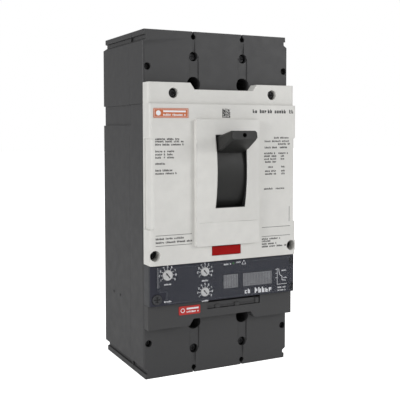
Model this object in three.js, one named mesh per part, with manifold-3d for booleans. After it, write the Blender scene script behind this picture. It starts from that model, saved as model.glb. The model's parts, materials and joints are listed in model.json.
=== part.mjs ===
// Three-pole molded case circuit breaker with an electronic trip unit.
// Millimetres, +Z up, front towards -Y, +X to the right of someone facing the front.
// The origin is the centre of the rear mounting face. Line terminals are at +Z, load terminals at -Z.
import * as THREE from 'three';
import { mergeVertices } from 'three/addons/utils/BufferGeometryUtils.js';
import Module from 'manifold-3d';

const wasm = await Module();
wasm.setup();

// ---------------------------------------------------------------- driving dimensions

const WIDTH = 140;
const HEIGHT = 292;
const BASE_DEPTH = 67;
const BODY_DEPTH = 98;
const COVER_DEPTH = 113;
const STRIP_DEPTH = 109;
const BLOCK_DEPTH = 106.3;
const ESCUTCHEON_DEPTH = 117;
const RIM_DEPTH = 124;
const POLE_PITCH = 47;
const WALL = 4;
const GAP = 0.3;
const PAST = 1;

const HALF_WIDTH = WIDTH / 2;
const HALF_HEIGHT = HEIGHT / 2;
const POLES = [-1, 0, 1];
const POLE_NAMES = ['left', 'centre', 'right'];
const SIDES = [-1, 1];
const SIDE_NAMES = ['left', 'right'];

// Cover zones along Z, mirrored about the middle of the case.
const COVER_END = 102.2;
const COVER_BOTTOM = -47.8;
const STRIP_START = 84.5;
const TRIP_BOTTOM = -82;
const NOTCH_DEPTH = 5.5;
const NOTCH_OUTER = 31.5;
const NOTCH_INNER = 27.8;
const SIDE_RECESS = { depth: 1.5, z: [67, 84.6], front: -72 };

// Pole chambers and terminal pockets of the case.
const BARRIER = 4;
const BARRIER_X = POLE_PITCH / 2;
const BACK_WALL = 8;
const CHAMBER_END = 106;
const POCKET_START = 112;
const POCKET_BACK = 22;
const FRONT_WALL = 8;
const COVER_SKIN = 3;

// Fastener places.
const MOUNT_X = 23.7;
const MOUNT_Z = 101.8;
const MOUNT_RADIUS = 3.1;
const MOUNT_COUNTERBORE = 6.2;
const BOSS_RADIUS = 9;
const MID_SCREW_Z = 125;
const MID_COUNTERBORE = 4;
const MID_SEAT_DEPTH = 6;
const OUTER_SCREW_X = 65.6;
const OUTER_SCREW_Z = 115.5;
const OUTER_COUNTERBORE = 3;
const TOP_COVER_SCREW = { x: 47, z: 93.5, counterbore: 4.2, head: 3.8, depth: 3 };
const LOW_COVER_SCREW = { x: 65.3, z: -39.6, counterbore: 4.4, head: 3.8, depth: 7.5 };
const SLOT_RADIUS = 2.3;
const SLOT_Z = 141.5;

// Current path.
const BAR_BACK = -32;
const BAR_FRONT = -38;
const BAR_HALF = 13;
const BAR_END = 143;
const BOLT_Z = 130;
const CONTACT_FACE = -40;

// Axes of the moving parts, as [y, z] of lines along X.
const HANDLE_PIVOT = [-62, 28.5];
const CROSSBAR_AXIS = [-38, 8];
const CRADLE_PIVOT = [-62, 60];
const CRADLE_PIN = [-84, 28];
const KNEE_PIN = [-65, 30.5];
const ARM_PIN = [-46, 30];
const CROSSBAR_ROOM = { radius: 11, z: [-3, 19], front: -80 };
const BETWEEN_OUTER_POLES = [-BARRIER_X - BARRIER, BARRIER_X + BARRIER];
const TRIP_BAR_AXIS = [-72, -52];
const PLUNGER_AXIS = [17, -80];

// Handle.
const HANDLE_ANGLE = 20.2;
const SHIELD_RADIUS = 59.3;
const SHIELD_THICKNESS = 2.4;
const SHIELD_HALF_ANGLE = 52;
const SHIELD_HALF_WIDTH = 15.8;
const SLOT_HALF_WIDTH = 14;
const SLOT_HALF_HEIGHT = 30.5;

// Trip unit front.
const PANEL_DEPTH = 111.2;
const DIALS = [
  { name: 'long_time_current_dial', x: -53.8, z: -56.4, radius: 4.4 },
  { name: 'short_time_current_dial', x: -19.5, z: -56.4, radius: 3.8 },
  { name: 'short_time_delay_dial', x: -19.5, z: -73.6, radius: 3.8 },
];
const DIAL_ARROW = 35;
const WINDOWS = [
  { name: 'display_window_left', x: [-2.2, 12.4], z: [-72.9, -60.6] },
  { name: 'display_window_right', x: [16.8, 46.5], z: [-72.7, -60.8] },
];
const TEST_PORT = { x: -63.4, z: -76, radius: 4.2 };
const CLEAR_COVER = { hinge: -63.2, right: 66, bottom: -80.4, top: -49.2, pivotY: -112.5 };

// ---------------------------------------------------------------- materials

function material(color, roughness, metalness) {
  return new THREE.MeshStandardMaterial({ color, roughness, metalness });
}


const MATERIALS = {
  darkCase: () => material(0x525254, 0.6, 0),
  whiteCover: () => material(0xdad9d5, 0.45, 0),
  tripPlastic: () => material(0x44454b, 0.5, 0),
  tripPanel: () => material(0x464852, 0.4, 0),
  handlePlastic: () => material(0x3a3a39, 0.5, 0),
  redPlastic: () => material(0x960f0f, 0.35, 0),
  orangeLabel: () => material(0xd77846, 0.4, 0),
  redLabel: () => material(0xc82823, 0.4, 0),
  dialPlastic: () => material(0xdcdcdc, 0.4, 0),
  displayGrey: () => material(0x7d7e82, 0.3, 0),
  clearPlastic: () => material(0xe8eef0, 0.1, 0),
  steel: () => material(0x8a8c90, 0.35, 1),
  darkSteel: () => material(0x3c3c3e, 0.4, 1),
  copper: () => material(0xb87348, 0.35, 1),
  fibre: () => material(0x8c7a5c, 0.7, 0),
  coilPlastic: () => material(0x2c2e33, 0.5, 0),
  boardGreen: () => material(0x1f5a3a, 0.5, 0),
};

// ---------------------------------------------------------------- shape helpers

const radians = (degrees) => degrees * Math.PI / 180;

function solidFrom(geometry) {
  const bare = geometry.clone();
  bare.deleteAttribute('normal');
  bare.deleteAttribute('uv');
  const merged = mergeVertices(bare, 1e-4);
  return new wasm.Manifold(new wasm.Mesh({
    numProp: 3,
    vertProperties: Float32Array.from(merged.attributes.position.array),
    triVerts: Uint32Array.from(merged.index.array),
  }));
}

function meshFrom(name, solid, finish) {
  const { numProp, vertProperties, triVerts } = solid.getMesh();
  const geometry = new THREE.BufferGeometry();
  geometry.setAttribute('position', new THREE.BufferAttribute(Float32Array.from(vertProperties), numProp));
  geometry.setIndex(new THREE.BufferAttribute(Uint32Array.from(triVerts), 1));
  geometry.computeVertexNormals();
  const mesh = new THREE.Mesh(geometry, finish());
  mesh.name = name;
  return mesh;
}

const join = (...solids) => solids.flat().reduce((whole, next) => whole.add(next));
const cut = (solid, ...tools) => tools.flat().reduce((rest, tool) => rest.subtract(tool), solid);

// A box from its limits along each axis.
function block([x0, x1], [y0, y1], [z0, z1]) {
  const geometry = new THREE.BoxGeometry(x1 - x0, y1 - y0, z1 - z0);
  geometry.translate((x0 + x1) / 2, (y0 + y1) / 2, (z0 + z1) / 2);
  return solidFrom(geometry);
}

// A round rod along 'x', 'y' or 'z'; the centre gives the two other coordinates in X, Y, Z order.
function rod(axis, [u, v], radius, [from, to], sides = 24) {
  const geometry = new THREE.CylinderGeometry(radius, radius, to - from, sides);
  const middle = (from + to) / 2;
  if (axis === 'x') geometry.rotateZ(Math.PI / 2).translate(middle, u, v);
  if (axis === 'y') geometry.translate(u, middle, v);
  if (axis === 'z') geometry.rotateX(Math.PI / 2).translate(u, v, middle);
  return solidFrom(geometry);
}

const PRISM_BASIS = {
  x: [[0, 1, 0], [0, 0, 1], [1, 0, 0]],
  y: [[1, 0, 0], [0, 0, 1], [0, -1, 0]],
  z: [[1, 0, 0], [0, 1, 0], [0, 0, 1]],
};

// An outline pushed along an axis; its points are [y, z] for 'x', [x, z] for 'y' and [x, y] for 'z'.
function prism(axis, outline, [from, to], curveSegments = 8) {
  const shape = Array.isArray(outline)
    ? new THREE.Shape(outline.map(([u, v]) => new THREE.Vector2(u, v)))
    : outline;
  const geometry = new THREE.ExtrudeGeometry(shape, { depth: to - from, bevelEnabled: false, curveSegments });
  const columns = PRISM_BASIS[axis].map((column) => new THREE.Vector3(...column));
  geometry.applyMatrix4(new THREE.Matrix4().makeBasis(...columns));
  const start = { x: [from, 0, 0], y: [0, to, 0], z: [0, 0, from] };
  geometry.translate(...start[axis]);
  return solidFrom(geometry);
}

// A closed skin over rings with the same number of points, each ring convex and flat.
function loft(rings) {
  const count = rings[0].length;
  const indices = [];
  for (let ring = 0; ring < rings.length - 1; ring += 1) {
    for (let point = 0; point < count; point += 1) {
      const a = ring * count + point;
      const b = ring * count + (point + 1) % count;
      indices.push(a, b, b + count, a, b + count, a + count);
    }
  }
  const last = (rings.length - 1) * count;
  for (let point = 1; point < count - 1; point += 1) {
    indices.push(0, point + 1, point, last, last + point, last + point + 1);
  }
  const geometry = new THREE.BufferGeometry();
  geometry.setAttribute('position', new THREE.Float32BufferAttribute(rings.flat(2), 3));
  geometry.setIndex(indices);
  return solidFrom(geometry);
}

// A rectangle with rounded corners, as a Shape.
function roundedRect([x0, x1], [y0, y1], radius) {
  const shape = new THREE.Shape();
  shape.moveTo(x0 + radius, y0);
  shape.lineTo(x1 - radius, y0);
  shape.absarc(x1 - radius, y0 + radius, radius, -Math.PI / 2, 0, false);
  shape.lineTo(x1, y1 - radius);
  shape.absarc(x1 - radius, y1 - radius, radius, 0, Math.PI / 2, false);
  shape.lineTo(x0 + radius, y1);
  shape.absarc(x0 + radius, y1 - radius, radius, Math.PI / 2, Math.PI, false);
  shape.lineTo(x0, y0 + radius);
  shape.absarc(x0 + radius, y0 + radius, radius, Math.PI, 1.5 * Math.PI, false);
  return shape;
}

// A flat link with round ends between two [y, z] points.
function link(start, end, radius, span) {
  const direction = Math.atan2(end[1] - start[1], end[0] - start[0]);
  const shape = new THREE.Shape();
  shape.absarc(end[0], end[1], radius, direction - Math.PI / 2, direction + Math.PI / 2, false);
  shape.absarc(start[0], start[1], radius, direction + Math.PI / 2, direction + 1.5 * Math.PI, false);
  shape.closePath();
  return prism('x', shape, span, 6);
}

const wider = ([from, to]) => [from - PAST, to + PAST];
const mirrored = (side, [inner, outer]) => (side > 0 ? [inner, outer] : [-outer, -inner]);
const onBothSides = (make) => SIDES.map(make);

// A point at a radius and an angle above the forward direction, around a [y, z] axis.
function aroundAxis([y, z], radius, degrees) {
  return [y - radius * Math.cos(radians(degrees)), z + radius * Math.sin(radians(degrees))];
}

// A closed [y, z] sector of a tube wall around an axis.
function arcBand(axis, inner, outer, fromAngle, toAngle, steps) {
  const angles = Array.from({ length: steps + 1 }, (_, i) => fromAngle + (toAngle - fromAngle) * i / steps);
  const outside = angles.map((angle) => aroundAxis(axis, outer, angle));
  const inside = angles.map((angle) => aroundAxis(axis, inner, angle)).reverse();
  return [...outside, ...inside];
}

// A helical spring with flat-cut ends between two points; its wire has few sides.
function spring(start, end, coilRadius, wireRadius, turns) {
  const STEPS_PER_TURN = 8;
  const axis = new THREE.Vector3().subVectors(end, start);
  const length = axis.length();
  const turnToAxis = new THREE.Quaternion().setFromUnitVectors(new THREE.Vector3(0, 0, 1), axis.normalize());
  const points = [];
  for (let i = 0; i <= turns * STEPS_PER_TURN; i += 1) {
    const angle = 2 * Math.PI * i / STEPS_PER_TURN;
    const height = length * i / (turns * STEPS_PER_TURN);
    const point = new THREE.Vector3(coilRadius * Math.cos(angle), coilRadius * Math.sin(angle), height);
    points.push(point.applyQuaternion(turnToAxis).add(start));
  }
  const section = new THREE.Shape();
  section.absarc(0, 0, wireRadius, 0, 2 * Math.PI, false);
  const path = new THREE.CatmullRomCurve3(points);
  const steps = turns * STEPS_PER_TURN;
  return solidFrom(new THREE.ExtrudeGeometry(section, { extrudePath: path, steps, curveSegments: 2 }));
}

// ---------------------------------------------------------------- case

// The inside limits along X of one pole chamber; the outer poles reach to the side walls.
function poleSpan(pole) {
  const inner = BARRIER_X + BARRIER / 2;
  if (pole === 0) return [-BARRIER_X + BARRIER / 2, BARRIER_X - BARRIER / 2];
  return mirrored(pole, [inner, HALF_WIDTH - WALL]);
}

// The grooves that run front to back along the side walls near both ends.
function endGrooves() {
  const groove = [[-71, 135], [-70, 136], [-66.3, 138.6], [-66.3, 141.4], [-68, 141.8], [-68, 147], [-71, 147]];
  const turned = (sx, sz) => {
    const points = groove.map(([x, z]) => [x * sx, z * sz]);
    return sx * sz > 0 ? points : points.reverse();
  };
  return SIDES.flatMap((sx) => SIDES.map((sz) => prism('y', turned(sx, sz), [-BODY_DEPTH - PAST, PAST])));
}

function chambers([back, front]) {
  return POLES.map((pole) => block(poleSpan(pole), [front, back], [-CHAMBER_END, CHAMBER_END]));
}

function terminalPockets([back, front]) {
  return POLES.flatMap((pole) => SIDES.map((end) => {
    const alongZ = mirrored(end, [POCKET_START, HALF_HEIGHT + PAST]);
    return block(poleSpan(pole), [front, back], alongZ);
  }));
}

// The shallow bands that run front to back across the upper part of both side walls.
function sideRecesses(back) {
  return onBothSides((side) => block(
    mirrored(side, [HALF_WIDTH - SIDE_RECESS.depth, HALF_WIDTH + PAST]),
    [SIDE_RECESS.front, back],
    SIDE_RECESS.z,
  ));
}

// Upright posts around the four mounting holes.
function mountingPosts([front, back]) {
  return SIDES.flatMap((sx) => SIDES.map((sz) => (
    rod('y', [sx * MOUNT_X, sz * MOUNT_Z], BOSS_RADIUS, [front, back], 20))));
}

function mountingHoles(radius, [front, back], sides = 14) {
  return SIDES.flatMap((sx) => SIDES.map((sz) => (
    rod('y', [sx * MOUNT_X, sz * MOUNT_Z], radius, [front, back], sides))));
}

function rearBase() {
  const SEAT_DEPTH = 40;
  const REAR_RECESS = 1.5;
  const PANEL_HALF = 16;
  const PANEL_Z = [24, 92];
  const outer = block([-HALF_WIDTH, HALF_WIDTH], [-BASE_DEPTH, 0], [-HALF_HEIGHT, HALF_HEIGHT]);
  const hollow = cut(
    outer,
    chambers([-BACK_WALL, -BASE_DEPTH - PAST]),
    terminalPockets([-POCKET_BACK, -BASE_DEPTH - PAST]),
  );
  const posts = join(hollow, mountingPosts([-BASE_DEPTH, -PAST]));
  const barSlots = POLES.flatMap((pole) => SIDES.map((end) => block(
    [pole * POLE_PITCH - BAR_HALF - GAP, pole * POLE_PITCH + BAR_HALF + GAP],
    [BAR_FRONT - GAP, BAR_BACK + GAP],
    mirrored(end, [CHAMBER_END - PAST, POCKET_START + PAST]),
  )));
  const crossbarPath = [
    rod('x', CROSSBAR_AXIS, CROSSBAR_ROOM.radius, BETWEEN_OUTER_POLES, 20),
    block(BETWEEN_OUTER_POLES, [-BASE_DEPTH - PAST, CROSSBAR_AXIS[0]], CROSSBAR_ROOM.z),
  ];
  const rearRecesses = POLES.flatMap((pole) => SIDES.map((end) => prism(
    'y',
    roundedRect([pole * POLE_PITCH - PANEL_HALF, pole * POLE_PITCH + PANEL_HALF], mirrored(end, PANEL_Z), 3),
    [-REAR_RECESS, PAST],
    3,
  )));
  return cut(
    posts,
    barSlots,
    crossbarPath,
    sideRecesses(PAST),
    rearRecesses,
    mountingHoles(MOUNT_RADIUS, [-BASE_DEPTH - PAST, PAST]),
    mountingHoles(MOUNT_COUNTERBORE, [-BASE_DEPTH - PAST, -SEAT_DEPTH], 24),
    endGrooves(),
  );
}

// Screw seats of the mid cover: [x, z, radius] for the inner and the outer screws.
function midScrewSeats() {
  return SIDES.flatMap((sx) => SIDES.flatMap((sz) => [
    [sx * MOUNT_X, sz * MID_SCREW_Z, MID_COUNTERBORE],
    [sx * OUTER_SCREW_X, sz * OUTER_SCREW_Z, OUTER_COUNTERBORE],
  ]));
}

// Shallow slots and channels on the front face between poles, and the keyholes for phase barriers.
function poleGapCuts() {
  const KEYHOLE_DEPTH = 30;
  const KEYHOLE_SLIT_HALF = 0.8;
  const CHANNEL_HALF = 4.8;
  const CHANNEL_DEPTH = 0.9;
  const LINE_HALF = 1.5;
  return SIDES.flatMap((sx) => SIDES.flatMap((sz) => {
    const x = sx * BARRIER_X;
    return [
      rod('y', [x, sz * SLOT_Z], SLOT_RADIUS, [-BODY_DEPTH - PAST, -BODY_DEPTH + KEYHOLE_DEPTH], 14),
      block([x - KEYHOLE_SLIT_HALF, x + KEYHOLE_SLIT_HALF], [-BODY_DEPTH - PAST, -BODY_DEPTH + KEYHOLE_DEPTH],
        mirrored(sz, [SLOT_Z, HALF_HEIGHT + PAST])),
      block([x - LINE_HALF, x + LINE_HALF], [-BODY_DEPTH - PAST, -BODY_DEPTH + CHANNEL_DEPTH],
        mirrored(sz, [MID_SCREW_Z, SLOT_Z])),
      block([x - CHANNEL_HALF, x + CHANNEL_HALF], [-BODY_DEPTH - PAST, -BODY_DEPTH + CHANNEL_DEPTH],
        mirrored(sz, [MOUNT_Z, MID_SCREW_Z])),
    ];
  }));
}

// The outline of a cover end with its notch between the outer poles; sign is +1 at the top, -1 at the bottom.
function notchedOutline(half, inner, end, sign) {
  const points = [
    [-half, inner],
    [half, inner],
    [half, end],
    [NOTCH_OUTER, end],
    [NOTCH_INNER, end - sign * NOTCH_DEPTH],
    [-NOTCH_INNER, end - sign * NOTCH_DEPTH],
    [-NOTCH_OUTER, end],
    [-half, end],
  ];
  return sign > 0 ? points : points.reverse();
}

// A plan outline with the two front corners rounded.
function frontRounded(half, back, front, radius) {
  const shape = new THREE.Shape();
  shape.moveTo(-half, back);
  shape.lineTo(-half, front + radius);
  shape.absarc(-half + radius, front + radius, radius, Math.PI, 1.5 * Math.PI, false);
  shape.lineTo(half - radius, front);
  shape.absarc(half - radius, front + radius, radius, 1.5 * Math.PI, 2 * Math.PI, false);
  shape.lineTo(half, back);
  shape.closePath();
  return shape;
}

function midCover() {
  const SEAM = -BASE_DEPTH - GAP;
  const END_SLOPE_START = 131.5;
  const END_SLOPE = 1.2;
  const WINDOW_HALF = 20.8;
  const WINDOW_Z = [-36, 93];
  const GROOVE = { depth: 0.6, z: [84.1, 84.9] };
  const SOCKET = { x: [-15, 37], z: [-90, -82], depth: 6 };
  const BUTTON_PASSAGE = { half: 3.2, below: 3, seatRadius: 5.2, seatDepth: 6 };
  const BOARD_WINDOW = { half: 58, z: [-79, -54] };
  const THROUGH_FRONT = [-BODY_DEPTH - PAST, -BODY_DEPTH + FRONT_WALL + PAST];
  const plan = frontRounded(HALF_WIDTH, SEAM, -BODY_DEPTH, 2.5);
  const shell = prism('z', plan, [-HALF_HEIGHT, HALF_HEIGHT], 3);
  const raised = prism('y', notchedOutline(HALF_WIDTH - 0.6, TRIP_BOTTOM - GAP, -COVER_END, -1),
    [-BLOCK_DEPTH, -BODY_DEPTH + PAST]);
  const hollow = cut(
    join(shell, raised),
    chambers([-BASE_DEPTH + PAST, -BODY_DEPTH + FRONT_WALL]),
    terminalPockets([-BASE_DEPTH + PAST, -BODY_DEPTH + FRONT_WALL]),
  );
  const posts = join(hollow, mountingPosts([-BODY_DEPTH + PAST, SEAM]));
  const endSlopes = SIDES.map((end) => {
    const wedge = [
      [-BODY_DEPTH, END_SLOPE_START],
      [-BODY_DEPTH + END_SLOPE, HALF_HEIGHT + PAST],
      [-BODY_DEPTH - PAST, HALF_HEIGHT + PAST],
      [-BODY_DEPTH - PAST, END_SLOPE_START],
    ].map(([y, z]) => [y, end * z]);
    return prism('x', end > 0 ? wedge.reverse() : wedge, [-HALF_WIDTH - PAST, HALF_WIDTH + PAST]);
  });
  const windows = [
    block([-WINDOW_HALF, WINDOW_HALF], THROUGH_FRONT, WINDOW_Z),
    block([-BUTTON_PASSAGE.half, BUTTON_PASSAGE.half], THROUGH_FRONT,
      [BUTTON.stemZ - BUTTON_PASSAGE.below, WINDOW_Z[0] + PAST]),
    rod('y', [0, BUTTON.stemZ], BUTTON_PASSAGE.seatRadius,
      [-BODY_DEPTH - PAST, -BODY_DEPTH + BUTTON_PASSAGE.seatDepth], 16),
    block([-BOARD_WINDOW.half, BOARD_WINDOW.half], THROUGH_FRONT, BOARD_WINDOW.z),
  ];
  const crossbarPath = block(BETWEEN_OUTER_POLES, [CROSSBAR_ROOM.front, SEAM + PAST], CROSSBAR_ROOM.z);
  const screwSeats = midScrewSeats().map(([x, z, radius]) => (
    rod('y', [x, z], radius, [-BODY_DEPTH - PAST, -BODY_DEPTH + MID_SEAT_DEPTH], 16)));
  const seamLines = onBothSides((side) => block(
    mirrored(side, [HALF_WIDTH - GROOVE.depth, HALF_WIDTH + PAST]),
    [-BODY_DEPTH - PAST, SEAM + PAST],
    GROOVE.z,
  ));
  const socket = block(SOCKET.x, [-BLOCK_DEPTH - PAST, -BLOCK_DEPTH + SOCKET.depth], SOCKET.z);
  return cut(
    posts,
    endSlopes,
    windows,
    crossbarPath,
    screwSeats,
    seamLines,
    sideRecesses(SEAM + PAST),
    socket,
    poleGapCuts(),
    mountingHoles(MOUNT_COUNTERBORE, [-BODY_DEPTH - PAST / 2, SEAM + PAST], 24),
    endGrooves(),
  );
}

// ---------------------------------------------------------------- front cover

// The raised surround of the handle slot: flat flanks that rise to a curved rim.
function slotSurround() {
  const RIM_HALF = 15.4;
  const BASE_HALF = 29;
  const RIM_HALF_HEIGHT = 43;
  const STEPS = 16;
  const END_LIFT = 0.05;
  const EMBED = 2;
  const rise = RIM_DEPTH - ESCUTCHEON_DEPTH;
  const rings = [];
  for (let i = 0; i <= STEPS; i += 1) {
    const along = 2 * i / STEPS - 1;
    const lift = rise * (1 - along * along) + END_LIFT;
    const z = HANDLE_PIVOT[1] + RIM_HALF_HEIGHT * along;
    const back = -ESCUTCHEON_DEPTH + EMBED;
    const front = -ESCUTCHEON_DEPTH - lift;
    rings.push([
      [-BASE_HALF, back, z],
      [-BASE_HALF, -ESCUTCHEON_DEPTH, z],
      [-RIM_HALF, front, z],
      [RIM_HALF, front, z],
      [BASE_HALF, -ESCUTCHEON_DEPTH, z],
      [BASE_HALF, back, z],
    ]);
  }
  return loft(rings);
}

// The finger grips: both side edges are set back from the front face, and keep their full width at the rear.
function sideGrips(half, fillet) {
  const GRIP = { z: [-19, 57], depth: 1.6, shoulder: 2.5, back: -BODY_DEPTH - 3 };
  const alongY = [-COVER_DEPTH - PAST, GRIP.back];
  const inner = half - fillet - GRIP.depth;
  const kept = prism('z', frontRounded(half - GRIP.depth, GRIP.back + PAST, -COVER_DEPTH, fillet), GRIP.z, 4);
  return onBothSides((side) => {
    const outline = [
      [side * inner, GRIP.z[0] + GRIP.shoulder],
      [side * (half + PAST), GRIP.z[0]],
      [side * (half + PAST), GRIP.z[1]],
      [side * inner, GRIP.z[1] - GRIP.shoulder],
    ];
    return cut(prism('y', side > 0 ? outline : outline.reverse(), alongY), kept);
  });
}

function frontCover() {
  const BACK = -BODY_DEPTH - GAP;
  const FILLET = 3;
  const ESCUTCHEON = { half: 30, z: [-34, 72], wall: 3.5 };
  const POST_RADIUS = 6.4;
  const HANDLE_ROOM = { half: 19.5, z: [-30, 68], sweepHalf: 16.6, sweepClearance: 0.7 };
  const SHANK_HOLE = 2.4;
  const outlineHalf = HALF_WIDTH;
  const slab = prism('y', notchedOutline(outlineHalf, COVER_BOTTOM, COVER_END, 1), [-COVER_DEPTH, BACK]);
  const main = prism('z', frontRounded(outlineHalf, BACK, -COVER_DEPTH, FILLET),
    [COVER_BOTTOM, STRIP_START], 4);
  const strip = prism('z', frontRounded(outlineHalf, BACK, -STRIP_DEPTH, FILLET),
    [STRIP_START - PAST, COVER_END + PAST], 4);
  const body = slab.intersect(join(main, strip));
  const inside = cut(
    body,
    block([-outlineHalf + COVER_SKIN, outlineHalf - COVER_SKIN], [-COVER_DEPTH + COVER_SKIN, BACK + PAST],
      [COVER_BOTTOM + COVER_SKIN, STRIP_START - COVER_SKIN]),
    block([-outlineHalf + COVER_SKIN, outlineHalf - COVER_SKIN], [-STRIP_DEPTH + COVER_SKIN, BACK + PAST],
      [STRIP_START - 2 * COVER_SKIN, COVER_END - NOTCH_DEPTH - COVER_SKIN]),
  );
  const screws = [TOP_COVER_SCREW, LOW_COVER_SCREW];
  const postFor = (screw, side) => rod('y', [side * screw.x, screw.z], POST_RADIUS,
    [screw === TOP_COVER_SCREW ? -STRIP_DEPTH + PAST : -COVER_DEPTH + PAST, BACK], 20);
  const posts = screws.flatMap((screw) => onBothSides((side) => postFor(screw, side)))
    .map((post) => post.intersect(slab));
  const escutcheon = prism('y', roundedRect([-ESCUTCHEON.half, ESCUTCHEON.half], ESCUTCHEON.z, 1.5),
    [-ESCUTCHEON_DEPTH, -COVER_DEPTH + PAST], 3);
  const whole = join(inside, posts, escutcheon, slotSurround());
  const handleRoom = [
    block([-HANDLE_ROOM.half, HANDLE_ROOM.half], [-ESCUTCHEON_DEPTH + ESCUTCHEON.wall, BACK + PAST],
      HANDLE_ROOM.z),
    rod('x', HANDLE_PIVOT, SHIELD_RADIUS + HANDLE_ROOM.sweepClearance,
      [-HANDLE_ROOM.sweepHalf, HANDLE_ROOM.sweepHalf], 64)
      .intersect(block([-HANDLE_ROOM.half, HANDLE_ROOM.half], [-RIM_DEPTH, BACK + PAST], wider(HANDLE_ROOM.z))),
  ];
  const slotZ = [HANDLE_PIVOT[1] - SLOT_HALF_HEIGHT, HANDLE_PIVOT[1] + SLOT_HALF_HEIGHT];
  const slot = block([-SLOT_HALF_WIDTH, SLOT_HALF_WIDTH], [-RIM_DEPTH - PAST, BACK + PAST], slotZ);
  const buttonHole = block([-BUTTON.half - GAP, BUTTON.half + GAP],
    wider([-COVER_DEPTH, -COVER_DEPTH + COVER_SKIN]), [BUTTON.z[0] - GAP, BUTTON.z[1] + GAP]);
  const screwHoles = screws.flatMap((screw) => onBothSides((side) => {
    const top = screw === TOP_COVER_SCREW ? -STRIP_DEPTH : -COVER_DEPTH;
    return join(
      rod('y', [side * screw.x, screw.z], screw.counterbore, [top - PAST, top + screw.depth + COVER_SKIN], 24),
      rod('y', [side * screw.x, screw.z], SHANK_HOLE, [top, BACK + PAST], 12),
    );
  }));
  return cut(whole, handleRoom, slot, buttonHole, screwHoles, sideGrips(outlineHalf, FILLET));
}

// ---------------------------------------------------------------- trip unit

function tripOpenings(depthRange, extra) {
  return [
    ...DIALS.map((dial) => rod('y', [dial.x, dial.z], dial.radius + extra, depthRange, 24)),
    ...WINDOWS.map((view) => block([view.x[0] - extra, view.x[1] + extra], depthRange,
      [view.z[0] - extra, view.z[1] + extra])),
  ];
}

function tripUnitHousing() {
  const FRONT = -109.5;
  const SKIN = 2.4;
  const LEDGE = 0.8;
  const PORT_SEAT = 1.5;
  const BACK = -BODY_DEPTH - GAP;
  const half = HALF_WIDTH - GAP;
  const zRange = [TRIP_BOTTOM, COVER_BOTTOM - GAP];
  const outer = prism('z', frontRounded(half, BACK, FRONT, 1), zRange, 2);
  const inside = block([-half + SKIN, half - SKIN], [FRONT + SKIN, BACK + PAST],
    [zRange[0] + SKIN, zRange[1] - SKIN]);
  const portPocket = rod('y', [TEST_PORT.x, TEST_PORT.z], TEST_PORT.radius + GAP,
    [FRONT - PAST, FRONT + PORT_SEAT], 20);
  return cut(outer, inside, tripOpenings([FRONT - PAST, FRONT + SKIN + PAST], -LEDGE), portPocket);
}

function tripUnitPanel() {
  const BACK = -109.8;
  const MARGIN = { side: 0.7, bottom: 0.6, top: 0.4 };
  const half = HALF_WIDTH - MARGIN.side;
  const zRange = [TRIP_BOTTOM + MARGIN.bottom, COVER_BOTTOM - GAP - MARGIN.top];
  const outer = prism('z', frontRounded(half, BACK, -PANEL_DEPTH, 0.8), zRange, 2);
  const port = rod('y', [TEST_PORT.x, TEST_PORT.z], TEST_PORT.radius + GAP,
    [-PANEL_DEPTH - PAST, BACK + PAST], 20);
  return cut(outer, tripOpenings([-PANEL_DEPTH - PAST, BACK + PAST], GAP), port);
}

// A rotary setting dial: a disc on a stem, with an arrow-shaped slot for a screwdriver.
function settingDial(dial) {
  const FACE = -112;
  const REAR = -110;
  const STEM = { radius: 1.6, y: [-111, -105.4] };
  const SLOT = { half: 0.5, head: 1.5, neck: 0.35, reach: 0.72, depth: 0.9 };
  const disc = rod('y', [dial.x, dial.z], dial.radius, [FACE, REAR], 28);
  const stem = rod('y', [dial.x, dial.z], STEM.radius, STEM.y, 12);
  const reach = dial.radius * SLOT.reach;
  const neck = reach * SLOT.neck;
  const arrow = [
    [-SLOT.half, -reach],
    [SLOT.half, -reach],
    [SLOT.half, neck],
    [SLOT.head, neck],
    [0, reach],
    [-SLOT.head, neck],
    [-SLOT.half, neck],
  ];
  const angle = radians(DIAL_ARROW);
  const turned = arrow.map(([x, z]) => [
    dial.x + x * Math.cos(angle) - z * Math.sin(angle),
    dial.z + x * Math.sin(angle) + z * Math.cos(angle),
  ]);
  return cut(join(disc, stem), prism('y', turned, [FACE - PAST, FACE + SLOT.depth]));
}

function displayWindow(view) {
  const PROUD = 0.1;
  const SUNK = 1.3;
  const CORNER = 0.4;
  return prism('y', roundedRect(view.x, view.z, CORNER), [-PANEL_DEPTH - PROUD, -PANEL_DEPTH + SUNK], 2);
}

// The hinged transparent cover over the dials and displays, clear of the test port.
function clearCover() {
  const { hinge, right, bottom, top, pivotY } = CLEAR_COVER;
  const THICKNESS = 0.9;
  const BEHIND_PIVOT = 0.2;
  const PORT_CORNER = { x: -56.6, z: [-70.6, -68.6] };
  const KNUCKLE = { radius: 0.95, bottom: -67.5 };
  const LATCH = { width: 3, z: [-67, -60] };
  const back = pivotY + BEHIND_PIVOT;
  const outline = [
    [hinge, top],
    [hinge, PORT_CORNER.z[1]],
    [PORT_CORNER.x, PORT_CORNER.z[0]],
    [PORT_CORNER.x, bottom],
    [right, bottom],
    [right, top],
  ];
  const plate = prism('y', outline, [back - THICKNESS, back]);
  const knuckle = rod('z', [hinge, pivotY], KNUCKLE.radius, [KNUCKLE.bottom, top], 10);
  const latch = block([right - LATCH.width, right], [pivotY, -PANEL_DEPTH - GAP], LATCH.z);
  return join(plate, knuckle, latch);
}

function testPortPlug() {
  const FACE = -111.6;
  const REAR = -108.4;
  const SLOT = { reach: 2.6, half: 0.5, depth: 0.8 };
  const { x, z, radius } = TEST_PORT;
  const disc = rod('y', [x, z], radius, [FACE, REAR], 24);
  const slotDepth = [FACE - PAST, FACE + SLOT.depth];
  const crossSlot = [
    block([x - SLOT.reach, x + SLOT.reach], slotDepth, [z - SLOT.half, z + SLOT.half]),
    block([x - SLOT.half, x + SLOT.half], slotDepth, [z - SLOT.reach, z + SLOT.reach]),
  ];
  return cut(disc, crossSlot);
}

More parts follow.
